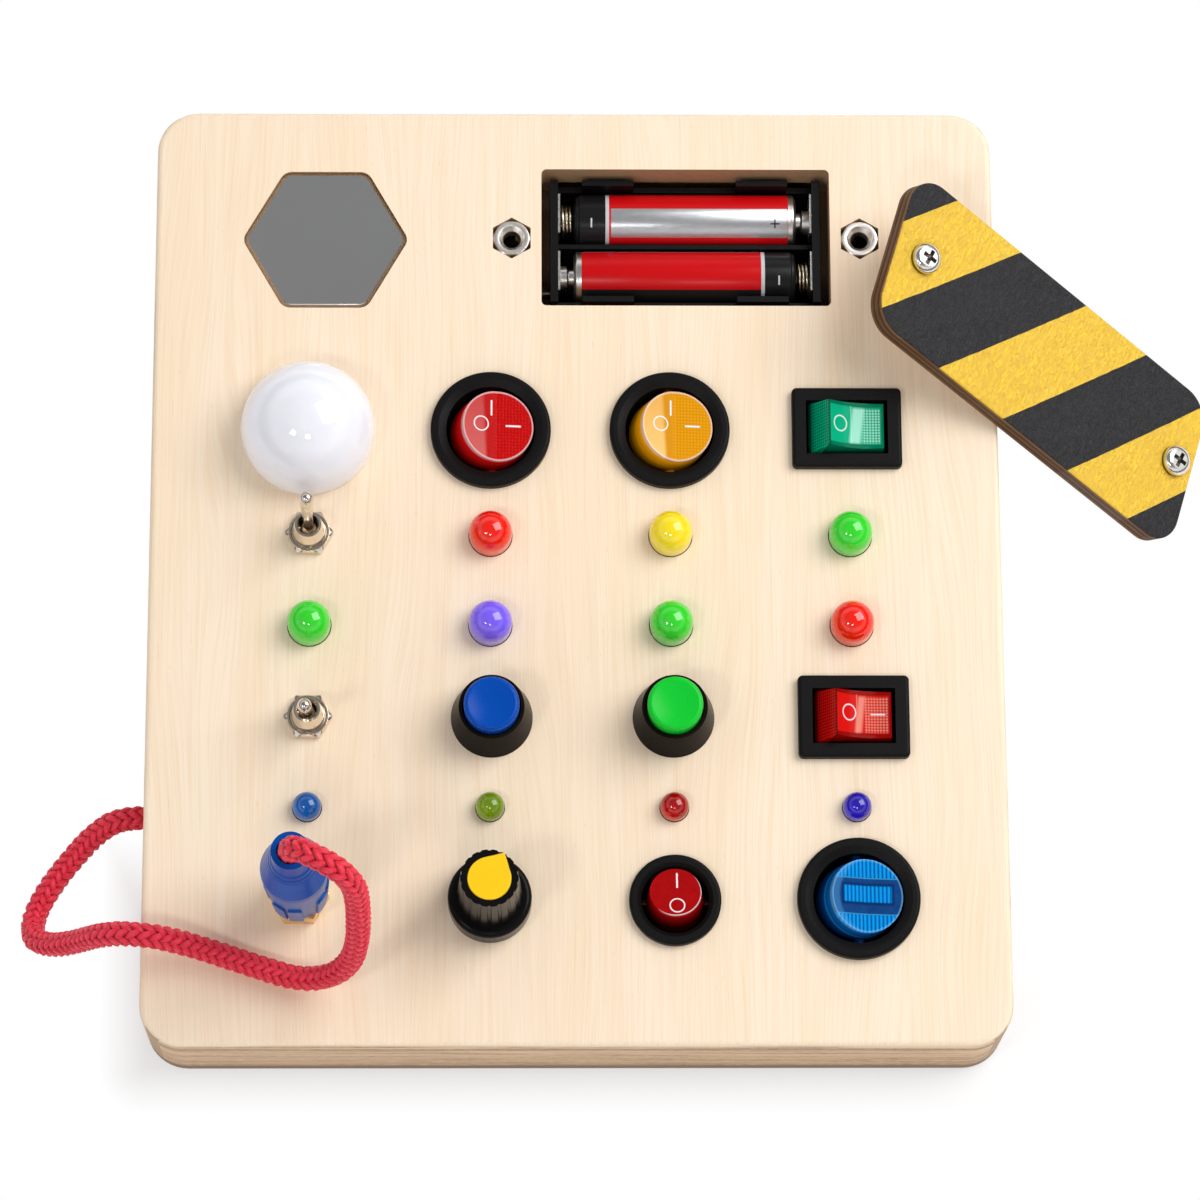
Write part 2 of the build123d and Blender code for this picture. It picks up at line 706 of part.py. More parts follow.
def make_round_paddle(place):
    height, skirt, low = round_paddle_height, round_paddle_skirt, round_paddle_low_radius
    cone = lathe([(0, -skirt), (low, -skirt), (round_paddle_top_radius, height), (0, height)])
    crease = Plane.XZ * make_face(Polyline(
        (-round_paddle_top_radius, height), (0, height - round_crease),
        (round_paddle_top_radius, height), close=True,
    ))
    paddle = cone - extrude(crease, low, both=True)
    paddle = paddle + along_y(round_pin_radius, -round_pin_reach, round_pin_reach)
    paddle = paddle + cyl(rocker_tail_radius, -rocker_tail_length, 0)
    return pivot_at(place) * Rot(0, round_throw, 0) * paddle


def make_square_housing(place):
    bottom, mouth = top - rocker_depth, top + square_flange_height
    body = block(
        -square_body_length / 2, square_body_length / 2, -square_body_width / 2, square_body_width / 2,
        bottom, top,
    )
    plan = RectangleRounded(square_flange_length, square_flange_width, square_flange_corner)
    flange = Pos(0, 0, top) * extrude(plan, square_flange_height)
    flange = fillet(flange.faces().sort_by(Axis.Z)[-1].edges(), square_flange_height / 3)
    half_x = square_body_length / 2 - square_wall_long
    half_y = square_body_width / 2 - square_wall_short
    bore = block(-half_x, half_x, -half_y, half_y, bottom + rocker_floor, mouth)
    reach = half_y + square_pin_bite + run_gap
    holes = Pos(0, 0, top - rocker_pivot_drop) * along_y(square_pin_radius + run_gap, -reach, reach)
    return Pos(*place, 0) * (body + flange - bore - holes)


def make_square_paddle(place):
    ridge_x, ridge_z = square_ridge_x, square_ridge_height
    half_y = square_body_width / 2 - square_wall_short - square_side_gap
    sides = Polyline(
        (ridge_x, ridge_z), (square_end_x, 0.5), (square_end_x, -1.0),
        (-square_end_x, -1.0), (-square_end_x, 0.5), (-ridge_x, ridge_z),
    )
    dip = ThreePointArc((-ridge_x, ridge_z), (0, ridge_z - square_dip), (ridge_x, ridge_z))
    paddle = extrude(Plane.XZ * make_face([sides, dip]), half_y, both=True)
    taper = make_face(Polyline(
        (-half_y, -1.0), (half_y, -1.0), (half_y, 0.5),
        (half_y - square_top_taper, ridge_z), (square_top_taper - half_y, ridge_z), (-half_y, 0.5), close=True,
    ))
    paddle = paddle & extrude(Plane.YZ * taper, square_flange_length, both=True)
    reach = square_body_width / 2 - square_wall_short + square_pin_bite
    paddle = paddle + along_y(square_pin_radius, -reach, reach)
    paddle = paddle + cyl(rocker_tail_radius, -rocker_tail_length, 0)
    return pivot_at(place) * Rot(0, square_throw, 0) * paddle


def make_small_housing(place):
    mouth = top + small_flange_height
    shell = lathe([
        (0, top - small_depth), (small_barrel_radius, top - small_depth), (small_barrel_radius, top),
        (small_flange_radius, top), (small_flange_radius, mouth), (small_mouth_radius, mouth),
        (small_bore_radius, mouth - small_mouth_radius + small_bore_radius),
        (small_bore_radius, top - small_depth + rocker_floor), (0, top - small_depth + rocker_floor),
    ])
    rim = shell.edges().filter_by(GeomType.CIRCLE).group_by(Axis.Z)[-1].sort_by(SortBy.RADIUS)[-1]
    shell = fillet(rim, small_flange_height / 3)
    reach = small_pin_reach + run_gap
    holes = Pos(0, 0, top - rocker_pivot_drop) * along_x(small_pin_radius + run_gap, -reach, reach)
    bore = cyl(small_bore_radius, top - small_depth + rocker_floor, top)
    return Pos(*place, 0) * (shell - (holes - bore))


def make_small_paddle(place):
    paddle = lathe([
        (0, -small_paddle_skirt), (small_paddle_low_radius, -small_paddle_skirt),
        (small_paddle_top_radius, small_paddle_height), (0, small_paddle_height),
    ])
    paddle = paddle + along_x(small_pin_radius, -small_pin_reach, small_pin_reach)
    paddle = paddle + cyl(rocker_tail_radius, -small_tail_length, 0)
    return pivot_at(place) * Rot(-small_throw, 0, 0) * paddle


# ---------------------------------------------------------------- push buttons
def make_push_housing(x, y):
    bezel_top = top + push_bezel_height
    floor = top - push_bore_depth
    body = lathe([
        (0, top - push_depth), (push_barrel_radius, top - push_depth), (push_barrel_radius, top),
        (push_bezel_low_radius, top), (push_bezel_top_radius, bezel_top), (push_mouth_radius, bezel_top),
        (push_mouth_radius, top + push_mouth_floor), (push_bore_radius, top + push_mouth_floor),
        (push_bore_radius, floor), (0, floor),
    ])
    stem_end = top - push_stem_depth - push_travel - push_stem_gap
    return Pos(x, y, 0) * (body - cyl(push_stem_radius + push_stem_gap, stem_end, floor))


def make_push_cap(place):
    head_bottom = push_cap_top - push_head_height
    head = cyl(push_cap_radius, head_bottom, push_cap_top)
    head = fillet(head.faces().sort_by(Axis.Z)[-1].edges(), push_cap_rim_radius)
    dish_radius = push_cap_radius - push_cap_rim_radius
    ball = (dish_radius ** 2 + push_cap_dish ** 2) / (2 * push_cap_dish)
    head = head - Pos(0, 0, push_cap_top - push_cap_dish + ball) * Sphere(ball)
    return Pos(*place, top) * (head + cyl(push_stem_radius, -push_stem_depth, head_bottom))


def make_push_spring(place):
    length = push_bore_depth + push_cap_top - push_head_height - 2 * touch_gap
    spring = coil(push_spring_radius, push_spring_wire, length, push_spring_turns)
    return Pos(*place, top - push_bore_depth + touch_gap) * spring


def make_push_nut(x, y):
    nut = hexagon(push_nut_flats, under_face - push_nut_height, under_face)
    return Pos(x, y, 0) * (nut - cyl(push_barrel_radius + thread_gap, 0, under_face))


# ---------------------------------------------------------------- potentiometer and knob
def make_pot_body():
    can = cyl(pot_radius, under_face - pot_height, under_face)
    bush = cyl(pot_bush_radius, under_face, top + pot_bush_height)
    bore = cyl(pot_shaft_radius + run_gap, under_face - pot_shaft_depth, top + pot_bush_height)
    return Pos(*knob_place, 0) * (can + bush - bore)


def make_pot_nut():
    nut = hexagon(pot_nut_flats, 0, pot_nut_height) - cyl(pot_bush_radius + thread_gap, 0, pot_nut_height)
    return Pos(*knob_place, top) * nut


def make_pot_shaft():
    shaft = cyl(
        pot_shaft_radius, under_face - pot_shaft_depth + touch_gap, top + knob_height - knob_shaft_cover
    )
    return Pos(*knob_place, 0) * shaft


def pointer_plan(gap):
    """A round cap drawn out to a pointed edge at +Y."""
    radius, tip = knob_cap_radius + gap, knob_tip_radius + gap
    tip_y = knob_top_radius - knob_tip_radius
    slope = (radius - tip) / tip_y
    flank = sqrt(1 - slope ** 2)
    flanks = make_face(Polyline(
        (radius * flank, radius * slope), (tip * flank, tip_y + tip * slope),
        (-tip * flank, tip_y + tip * slope), (-radius * flank, radius * slope), close=True,
    ))
    return Circle(radius) + flanks + Pos(0, tip_y) * Circle(tip)


def make_knob_body():
    skirt_top = knob_lift + knob_skirt_height
    bush_room = pot_bush_height + knob_lift
    nut_room = pot_nut_height + knob_lift
    nut_radius = pot_nut_flats / 2 / cos(pi / 6) + knob_lift
    bush_radius = pot_bush_radius + knob_lift
    body = lathe([
        (nut_radius, knob_lift), (knob_skirt_radius, knob_lift), (knob_skirt_radius, skirt_top),
        (knob_cone_radius, skirt_top), (knob_top_radius, knob_height), (0, knob_height),
        (0, bush_room), (bush_radius, bush_room), (bush_radius, nut_room), (nut_radius, nut_room),
    ])
    rim = body.edges().filter_by(GeomType.CIRCLE).filter_by_position(Axis.Z, skirt_top, skirt_top)
    body = fillet(rim.sort_by(SortBy.RADIUS)[-1], knob_skirt_height / 5)
    lean = (knob_cone_radius - knob_top_radius) / (knob_height - skirt_top)
    middle = (skirt_top + knob_height) / 2
    middle_radius = (knob_cone_radius + knob_top_radius) / 2 + knob_flute_radius - knob_flute_depth
    for i in range(knob_flutes):
        turn = Rot(0, 0, 360 * (i + 0.5) / knob_flutes)
        flute = Cylinder(knob_flute_radius, knob_height - skirt_top - knob_flute_radius)
        body = body - turn * Pos(middle_radius, 0, middle + knob_flute_radius) * Rot(0, -lean * 180 / pi, 0) * flute
    recess = Pos(0, 0, knob_height - knob_cap_thick) * extrude(pointer_plan(thread_gap), knob_cap_thick)
    recess = Rot(0, 0, knob_pointer_angle) * recess
    body = body - recess - cyl(pot_shaft_radius, 0, knob_height - knob_shaft_cover)
    return Pos(*knob_place, top) * body


def make_knob_cap():
    cap = extrude(pointer_plan(0), knob_cap_thick)
    cap = fillet(cap.faces().sort_by(Axis.Z)[-1].edges(), knob_cap_thick / 4)
    return Pos(*knob_place, top + knob_height - knob_cap_thick) * Rot(0, 0, knob_pointer_angle) * cap


# ---------------------------------------------------------------- indicator lamps
def make_led(radius, height, rim_radius, place):
    z0 = under_face - led_rim_height
    lens = cyl(radius, z0, top + height - radius) + Pos(0, 0, top + height - radius) * Sphere(radius)
    return Pos(*place, 0) * (lens + cyl(rim_radius, z0, under_face))


def make_leads():
    leads = []
    for x, y in [place for lamps in (big_leds, small_leds) for group_ in lamps.values() for place in group_]:
        for side in (-1, 1):
            offset = side * lead_spacing / 2
            leads.append(cyl(lead_radius, wire_z + wire_radius, under_face - led_rim_height, x, y + offset))
    return group(leads)


# ---------------------------------------------------------------- wiring
def bus_route(polarity):
    """A wire that runs from the battery holder to and fro below every row."""
    side = lead_spacing / 2 * polarity
    left = -wire_inner_x if polarity > 0 else -wire_outer_x
    right = wire_outer_x if polarity > 0 else wire_inner_x
    feed_y = wire_feed_y - side
    points = [(bay_x - holder_length / 2, feed_y), (left, feed_y)]
    for i, row in enumerate(rows):
        offset = side if i % 2 == 0 else -side
        ends = (left, right) if i % 2 == 0 else (right, left)
        points += [(ends[0], row + offset), (ends[1], row + offset)]
    points[-1] = (wire_end_x, points[-1][1])
    return [(x, y, wire_z) for x, y in points]


def make_bus_wires():
    wires = []
    for polarity in (1, -1):
        path = FilletPolyline(*bus_route(polarity), radius=wire_bend_radius)
        wires.append(sweep(Plane(path ^ 0) * Circle(wire_radius), path=path))
    return group(wires)


def blade(x, y, z_top):
    half_x, half_y = terminal_thick / 2, terminal_width / 2
    return block(x - half_x, x + half_x, y - half_y, y + half_y, terminal_z, z_top)


def make_terminals():
    blades = []
    for x, y in list(round_rockers.values()) + list(square_rockers.values()):
        blades += [blade(x + side * terminal_width * 1.5, y, top - rocker_depth) for side in (-1, 1)]
    x, y = small_rocker_place
    blades += [blade(x + side * terminal_width, y, top - small_depth) for side in (-1, 1)]
    for x, y in toggles.values():
        z_top = under_face - toggle_case_height
        blades += [blade(x, y + side * terminal_width * 1.5, z_top) for side in (-1, 0, 1)]
    for x, y in push_buttons.values():
        blades += [blade(x + side * terminal_width, y, top - push_depth) for side in (-1, 1)]
    x, y = knob_place
    z_top = under_face - pot_height
    blades += [blade(x + side * terminal_width * 1.5, y, z_top) for side in (-1, 0, 1)]
    return group(blades)


# ---------------------------------------------------------------- socket and plug
def make_socket():
    head_top = top + socket_head_height
    bore_floor = head_top - socket_bore_depth
    head = hexagon(socket_flats, top, head_top)
    edge = socket_flats / 2 / cos(pi / 6)
    bevel = lathe([
        (0, top), (edge, top), (edge, head_top - socket_head_height / 8),
        (socket_flats / 2 * 0.94, head_top), (0, head_top),
    ])
    barrel = cyl(socket_barrel_radius, bore_floor - socket_end_wall, top)
    bore = cyl(socket_bore_radius, bore_floor, head_top)
    return Pos(socket_x, socket_y, 0) * ((head & bevel) + barrel - bore)


def make_socket_nut():
    nut = hexagon(socket_nut_flats, under_face - socket_nut_height, under_face)
    return Pos(socket_x, socket_y, 0) * (nut - cyl(socket_barrel_radius + thread_gap, 0, under_face))


def plug_frame():
    return Pos(socket_x, socket_y, top + socket_head_height + plug_gap)


def make_plug_sleeve():
    foot, wide, edge = plug_foot_radius, plug_wide_radius, plug_edge_height
    sleeve = lathe([
        (0, 0), (foot, 0), (wide, plug_wide_height), (wide, edge), (plug_neck_radius, plug_neck_height),
        (plug_collar_radius, plug_top_height), (0, plug_top_height),
    ])
    arch = Pos(0, plug_arch_height / 2) * Rectangle(plug_arch_width, plug_arch_height)
    arch = arch + Pos(0, plug_arch_height) * Circle(plug_arch_width / 2)
    tab = extrude(Plane.XZ * arch, 2 * wide)
    lean = (wide - foot) / plug_wide_height
    raised = foot + plug_arch_raise
    reach = plug_arch_height + plug_arch_width
    tab = tab & lathe([(foot / 2, 0), (raised, 0), (raised + lean * reach, reach), (foot / 2, reach)])
    for turn in plug_arch_turns:
        sleeve = sleeve + Rot(0, 0, turn) * tab
    cord_bore = cyl(rope_radius + fit_gap, plug_top_height - plug_cord_depth, plug_top_height)
    pin_bore = cyl(socket_bore_radius - run_gap, 0, plug_pin_root)
    return plug_frame() * (sleeve - cord_bore - pin_bore)


def make_plug_pin():
    radius = socket_bore_radius - run_gap
    pin = cyl(radius, -plug_pin_length, plug_pin_root)
    pin = fillet(pin.faces().sort_by(Axis.Z)[0].edges(), radius * 0.6)
    return plug_frame() * pin


# ---------------------------------------------------------------- rope
def turn_radii(points):
    """One arc for each inner point: as large as the runs beside it allow."""
    radii = []
    for before, here, after in zip(points, points[1:], points[2:]):
        run_in = Vector(*here) - Vector(*before)
        run_out = Vector(*after) - Vector(*here)
        turn = radians(run_in.get_angle(run_out))
        radii.append(0.45 * min(run_in.length, run_out.length) / tan(turn / 2))
    return radii


def make_rope():
    radii = turn_radii(rope_route)
    path = FilletPolyline(*rope_route, radius=radii)
    rope = sweep(Plane(path ^ 0) * Circle(rope_radius), path=path)
    print("rope radii", [round(r, 1) for r in radii])
    print("rope length", round(path.length, 1), "volume ratio",
          round(rope.volume / (pi * rope_radius ** 2 * path.length), 4))
    return rope


def make_knot():
    outer, inner = -board_width / 2, wall_thick - board_width / 2
    stub = along_x(rope_radius, outer, inner + knot_radius)
    return Pos(0, rope_exit_y, rope_exit_z) * (stub + Pos(inner + knot_radius, 0, 0) * Sphere(knot_radius))


# ---------------------------------------------------------------- assembly
parts["carcass"] = make_carcass()
parts["back_panel"] = make_back()
parts["back_screws"] = group([Pos(x, y, 0) * make_back_screw() for x, y in screw_places()])
parts["mirror_hexagon"] = make_mirror()
parts["battery_holder"] = make_holder()
parts["battery_contacts"] = make_contacts()
parts["battery_springs"] = make_battery_springs()
parts["battery_cell_upper"] = make_cell(1)
parts["battery_cell_lower"] = make_cell(-1)
parts["cover_inserts"] = group([make_insert(x, y) for x, y in inserts])
parts["cover_plate"] = make_cover()
parts["cover_screw_upper"] = make_cover_screw(-1)
parts["cover_screw_lower"] = make_cover_screw(1)
parts["bulb_globe"] = make_globe()
parts["bulb_base"] = make_lamp_base()
parts["bulb_led"] = make_lamp_led()
parts["toggle_cases"] = group([make_toggle_case(*place) for place in toggles.values()])
parts["toggle_nuts"] = group([make_toggle_nut(*place) for place in toggles.values()])
parts["toggle_upper_lever"] = make_toggle_lever(toggles["upper"], -toggle_throw)
parts["toggle_lower_lever"] = make_toggle_lever(toggles["lower"], toggle_throw)
for colour, place in round_rockers.items():
    parts[f"rocker_{colour}_housing"] = make_round_housing(place)
    parts[f"rocker_{colour}_paddle"] = make_round_paddle(place)
for colour, place in square_rockers.items():
    parts[f"square_{colour}_housing"] = make_square_housing(place)
    parts[f"square_{colour}_paddle"] = make_square_paddle(place)
parts["rocker_small_housing"] = make_small_housing(small_rocker_place)
parts["rocker_small_paddle"] = make_small_paddle(small_rocker_place)
parts["push_housings"] = group([make_push_housing(*place) for place in push_buttons.values()])
parts["push_nuts"] = group([make_push_nut(*place) for place in push_buttons.values()])
for colour, place in push_buttons.items():
    parts[f"push_{colour}_cap"] = make_push_cap(place)
    parts[f"push_{colour}_spring"] = make_push_spring(place)
parts["pot_body"] = make_pot_body()
parts["pot_nut"] = make_pot_nut()
parts["pot_shaft"] = make_pot_shaft()
parts["knob_body"] = make_knob_body()
parts["knob_cap"] = make_knob_cap()
for name, places in big_leds.items():
    parts[name] = group([make_led(led_radius, led_height, led_rim_radius, place) for place in places])
for name, places in small_leds.items():
    parts[name] = group(
        [make_led(small_led_radius, small_led_height, small_led_rim_radius, place) for place in places]
    )
parts["led_leads"] = make_leads()
parts["bus_wires"] = make_bus_wires()
parts["switch_terminals"] = make_terminals()
parts["socket"] = make_socket()
parts["socket_nut"] = make_socket_nut()
parts["plug_sleeve"] = make_plug_sleeve()
parts["plug_pin"] = make_plug_pin()
parts["rope"] = make_rope()
parts["rope_knot"] = make_knot()

os.makedirs("parts", exist_ok=True)
for name, shape in parts.items():
    export_step(shape, f"parts/{name}.step")
print(len(parts), "nodes")
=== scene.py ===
import bmesh
import bpy
from math import atan2, cos, hypot, pi, radians, sin, tau
from mathutils import Matrix, Vector
from mathutils.kdtree import KDTree


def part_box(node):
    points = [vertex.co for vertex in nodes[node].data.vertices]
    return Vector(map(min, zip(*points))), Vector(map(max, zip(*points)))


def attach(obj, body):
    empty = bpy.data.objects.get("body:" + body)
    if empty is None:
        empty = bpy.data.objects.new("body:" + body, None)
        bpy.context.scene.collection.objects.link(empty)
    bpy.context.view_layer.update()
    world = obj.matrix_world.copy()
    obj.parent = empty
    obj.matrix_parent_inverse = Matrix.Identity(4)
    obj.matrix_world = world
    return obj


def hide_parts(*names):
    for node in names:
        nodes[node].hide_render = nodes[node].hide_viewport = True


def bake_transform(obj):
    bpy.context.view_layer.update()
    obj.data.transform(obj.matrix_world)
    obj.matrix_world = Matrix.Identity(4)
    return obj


# A wooden busy board: the CAD nodes get their finishes, and the rope, cells, inserts and toggle nuts are
# made anew with more detail. Pieces are modelled in millimetres and brought to metres when they are done.
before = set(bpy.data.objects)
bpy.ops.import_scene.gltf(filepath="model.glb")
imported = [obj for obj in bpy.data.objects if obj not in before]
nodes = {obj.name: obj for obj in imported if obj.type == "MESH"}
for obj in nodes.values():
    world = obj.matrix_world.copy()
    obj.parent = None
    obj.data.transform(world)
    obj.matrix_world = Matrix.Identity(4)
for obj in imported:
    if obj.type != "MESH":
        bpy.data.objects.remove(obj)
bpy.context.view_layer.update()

MM = 0.001
TOP = 22.0
COLUMNS = [-50.4, -16.2, 18.0, 52.2]
ROWS = [27.0, 5.8, -11.9, -29.6, -47.3, -65.0]
BAY_X = 21.5
SOCKET = (-51.6, -64.2)
TOGGLES = ((COLUMNS[0] - 0.2, ROWS[1] + 0.6), (COLUMNS[0], ROWS[3]))
PLUG_FOOT = TOP + 5.0

# The camera: its angles in degrees, the point it looks at and its distance in mm, and its focal length
# in picture widths.
PITCH, YAW, ROLL = 15.84, -1.079, -0.261
AIM = (4.56, -6.52, TOP)
AWAY = 911.7
FOCUS = 4812 / 1200
SENSOR = 36.0

# Past these the board's outer sides begin; the floor's shadow starts at its outline.
SIDE_X, SIDE_Y = 79.7, 90.9
OUTLINE = (81, 92)

# The paddles' clear caps: the height they are measured from, and their tilt.
LENS_FOOT = TOP - 2
ROUND_TILT, SQUARE_TILT, SMALL_TILT = 14, 16, -14

# The cover's middle, its screws' places along it, and the levels of its noise that draw fine lines.
COVER = (90.5, 40.7, TOP + 1.2)
COVER_SCREWS = {"upper": -32.8, "lower": 34.6}
COVER_SCREW_SIDE = 0.9
HAIR_LINES = (0.44, 0.5, 0.56)

INSERT_REACH = 33.7
INSERT_FLATS, TOGGLE_FLATS = 7.0, 8.0
TOGGLE_MOUTH = 1.75
CELL_BUTTON = 1.2
NUT_SHARP, CELL_SHARP = 25, 40
TURN_STEPS = 72
WHITE = (0.86, 0.86, 0.88)
# The near-black of painted shade: screw crosses, thread grooves and the toggles' mouths.
PAINTED_SHADE_BLACK = (0.03, 0.025, 0.02)


# ---------------------------------------------------------------- camera
def set_camera():
    pitch, yaw, roll = radians(PITCH), radians(YAW), radians(ROLL)
    back = Vector((sin(yaw), -sin(pitch), cos(pitch))).normalized()
    right = Vector((0, 1, 0)).cross(back).normalized()
    up = back.cross(right)
    across = right * cos(roll) + up * sin(roll)
    upward = up * cos(roll) - right * sin(roll)
    lens = bpy.data.cameras.new("camera")
    lens.sensor_width = SENSOR
    lens.lens = FOCUS * SENSOR
    lens.clip_start = 0.01
    lens.clip_end = 20
    camera = bpy.data.objects.new("camera", lens)
    turned = Matrix((across, upward, back)).transposed().to_4x4()
    camera.matrix_world = Matrix.Translation((Vector(AIM) + back * AWAY) * MM) @ turned
    bpy.context.scene.collection.objects.link(camera)
    bpy.context.scene.camera = camera


# ---------------------------------------------------------------- finishes
def scaled(color, share):
    """A colour made darker or lighter, with no channel above 1."""
    return tuple(min(1, c * share) for c in color)


class Pattern:
    """Short ways to add nodes to a material's or the world's tree."""

    def __init__(self, tree):
        self.tree = tree

    def node(self, kind, inputs, **settings):
        made = self.tree.nodes.new("ShaderNode" + kind)
        for setting, value in settings.items():
            setattr(made, setting, value)
        for socket, value in inputs.items():
            target = made.inputs[socket]
            if isinstance(value, bpy.types.NodeSocket):
                self.tree.links.new(value, target)
            elif target.type == "RGBA" and len(value) == 3:
                target.default_value = (*value, 1)
            else:
                target.default_value = value
        return made

    def math(self, operation, a, b=0.0):
        return self.node("Math", {0: a, 1: b}, operation=operation).outputs[0]

    def times(self, value, *others):
        for other in others:
            value = self.math("MULTIPLY", value, other)
        return value

    def span(self, value, low, high, at_low=0.0, at_high=1.0):
        """Runs from at_low to at_high while the value goes from low to high."""
        inputs = {"Value": value, "From Min": low, "From Max": high, "To Min": at_low, "To Max": at_high}
        return self.node("MapRange", inputs).outputs[0]

    def over(self, share, under, above):
        """One shader laid over another."""
        return self.node("MixShader", {0: share, 1: under, 2: above}).outputs[0]

    def place(self, centre=(0, 0, 0), turn=None, stretch=(1, 1, 1)):
        """Object coordinates in mm about a centre, in a frame turned by a 3x3 matrix."""
        turn = turn or Matrix.Identity(3)
        back = turn.transposed()
        coords = self.node("TexCoord", {}).outputs["Object"]
        scale = self.node("Mapping", {"Vector": coords, "Scale": (1000, 1000, 1000)}, vector_type="POINT")
        moved = self.node("Mapping", {
            "Vector": scale.outputs[0],
            "Location": -(back @ Vector(centre)),
            "Rotation": back.to_euler(),
        }, vector_type="POINT")
        if tuple(stretch) == (1, 1, 1):
            return moved.outputs[0]
        return self.stretched(moved.outputs[0], stretch)

    def stretched(self, vector, scale):
        return self.node("Mapping", {"Vector": vector, "Scale": scale}).outputs[0]

    def split(self, vector):
        return self.node("SeparateXYZ", {"Vector": vector}).outputs

    def noise(self, vector, scale, detail=4.0, rough=0.5):
        inputs = {"Vector": vector, "Scale": scale, "Detail": detail, "Roughness": rough}
        return self.node("TexNoise", inputs).outputs["Fac"]

    def facing(self, way, low, high):
        """0 to 1 where the surface turns towards a direction."""
        normal = self.node("NewGeometry", {}).outputs["Normal"]
        along = self.node("VectorMath", {0: normal, 1: way}, operation="DOT_PRODUCT").outputs["Value"]
        return self.span(along, low, high)

    def ramp(self, factor, *stops):
        """A colour ramp from (position, colour or grey) stops."""
        made = self.node("ValToRGB", {"Fac": factor})
        line = made.color_ramp.elements
        while len(line) < len(stops):
            line.new(0.5)
        for mark, (position, color) in zip(line, stops):
            mark.position = position
            mark.color = (*color, 1) if hasattr(color, "__len__") else (color, color, color, 1)
        return made.outputs[0]

    def mix(self, factor, a, b):
        made = self.node("Mix", {}, data_type="RGBA")
        for socket, value in (("Factor_Float", factor), ("A_Color", a), ("B_Color", b)):
            target = next(i for i in made.inputs if i.identifier == socket)
            if isinstance(value, bpy.types.NodeSocket):
                self.tree.links.new(value, target)
            else:
                target.default_value = (*value, 1) if hasattr(value, "__len__") else value
        return next(o for o in made.outputs if o.identifier == "Result_Color")

    def between(self, value, low, high, soft=0.02):
        """1 where value lies from low to high."""
        return self.times(self.span(value, low - soft, low + soft),
                          self.span(value, high + soft, high - soft))


class Finish(Pattern):
    """A material with its shader's constants and its relief."""

    def __init__(self, name, color, rough, **fixed):
        self.material = bpy.data.materials.new(name)
        self.material.use_nodes = True
        super().__init__(self.material.node_tree)
        self.shader = self.tree.nodes["Principled BSDF"]
        self.set("Base Color", (*color, 1))
        self.set("Roughness", rough)
        for socket, value in fixed.items():
            self.set(socket.replace("_", " "), value)
        self.relief = None

    def set(self, socket, value):
        target = self.shader.inputs[socket]
        if isinstance(value, bpy.types.NodeSocket):
            self.tree.links.new(value, target)
        else:
            target.default_value = value

    def bump(self, height, depth):
        """Adds relief: depth is in mm."""
        inputs = {"Height": height, "Distance": depth * MM, "Strength": 1.0}
        if self.relief:
            inputs["Normal"] = self.relief
        self.relief = self.node("Bump", inputs).outputs[0]
        self.set("Normal", self.relief)


def moulded(name, color, rough=0.4, grain=0.02, speck=0.06, gloss=0.15):
    """Moulded plastic: a fine orange-peel surface and slightly uneven gloss."""
    finish = Finish(name, color, rough, Specular_IOR_Level=gloss)
    at = finish.place()
    fine = finish.noise(at, 2.6, 3)
    cloudy = finish.noise(at, 0.25, 2)
    darker = scaled(color, 1 - speck)
    finish.set("Base Color", finish.mix(cloudy, darker, color))
    finish.set("Roughness", finish.span(fine, 0.3, 0.7, rough * 0.85, rough * 1.15))
    finish.bump(fine, grain)
    return finish


def turned_metal(name, color, rough):
    """Plated metal with fine tool marks and a few dull spots."""
    finish = Finish(name, color, rough, Metallic=1.0)
    at = finish.place()
    marks = finish.noise(finish.stretched(at, (1, 1, 14)), 1.4, 4)
    spots = finish.noise(at, 0.7, 3)
    dull = scaled(color, 0.82)
    finish.set("Base Color", finish.mix(finish.ramp(spots, (0.4, 0.0), (0.7, 1.0)), color, dull))
    finish.set("Roughness", finish.span(spots, 0.3, 0.7, rough * 0.7, rough * 1.4))
    finish.bump(marks, 0.015)
    return finish


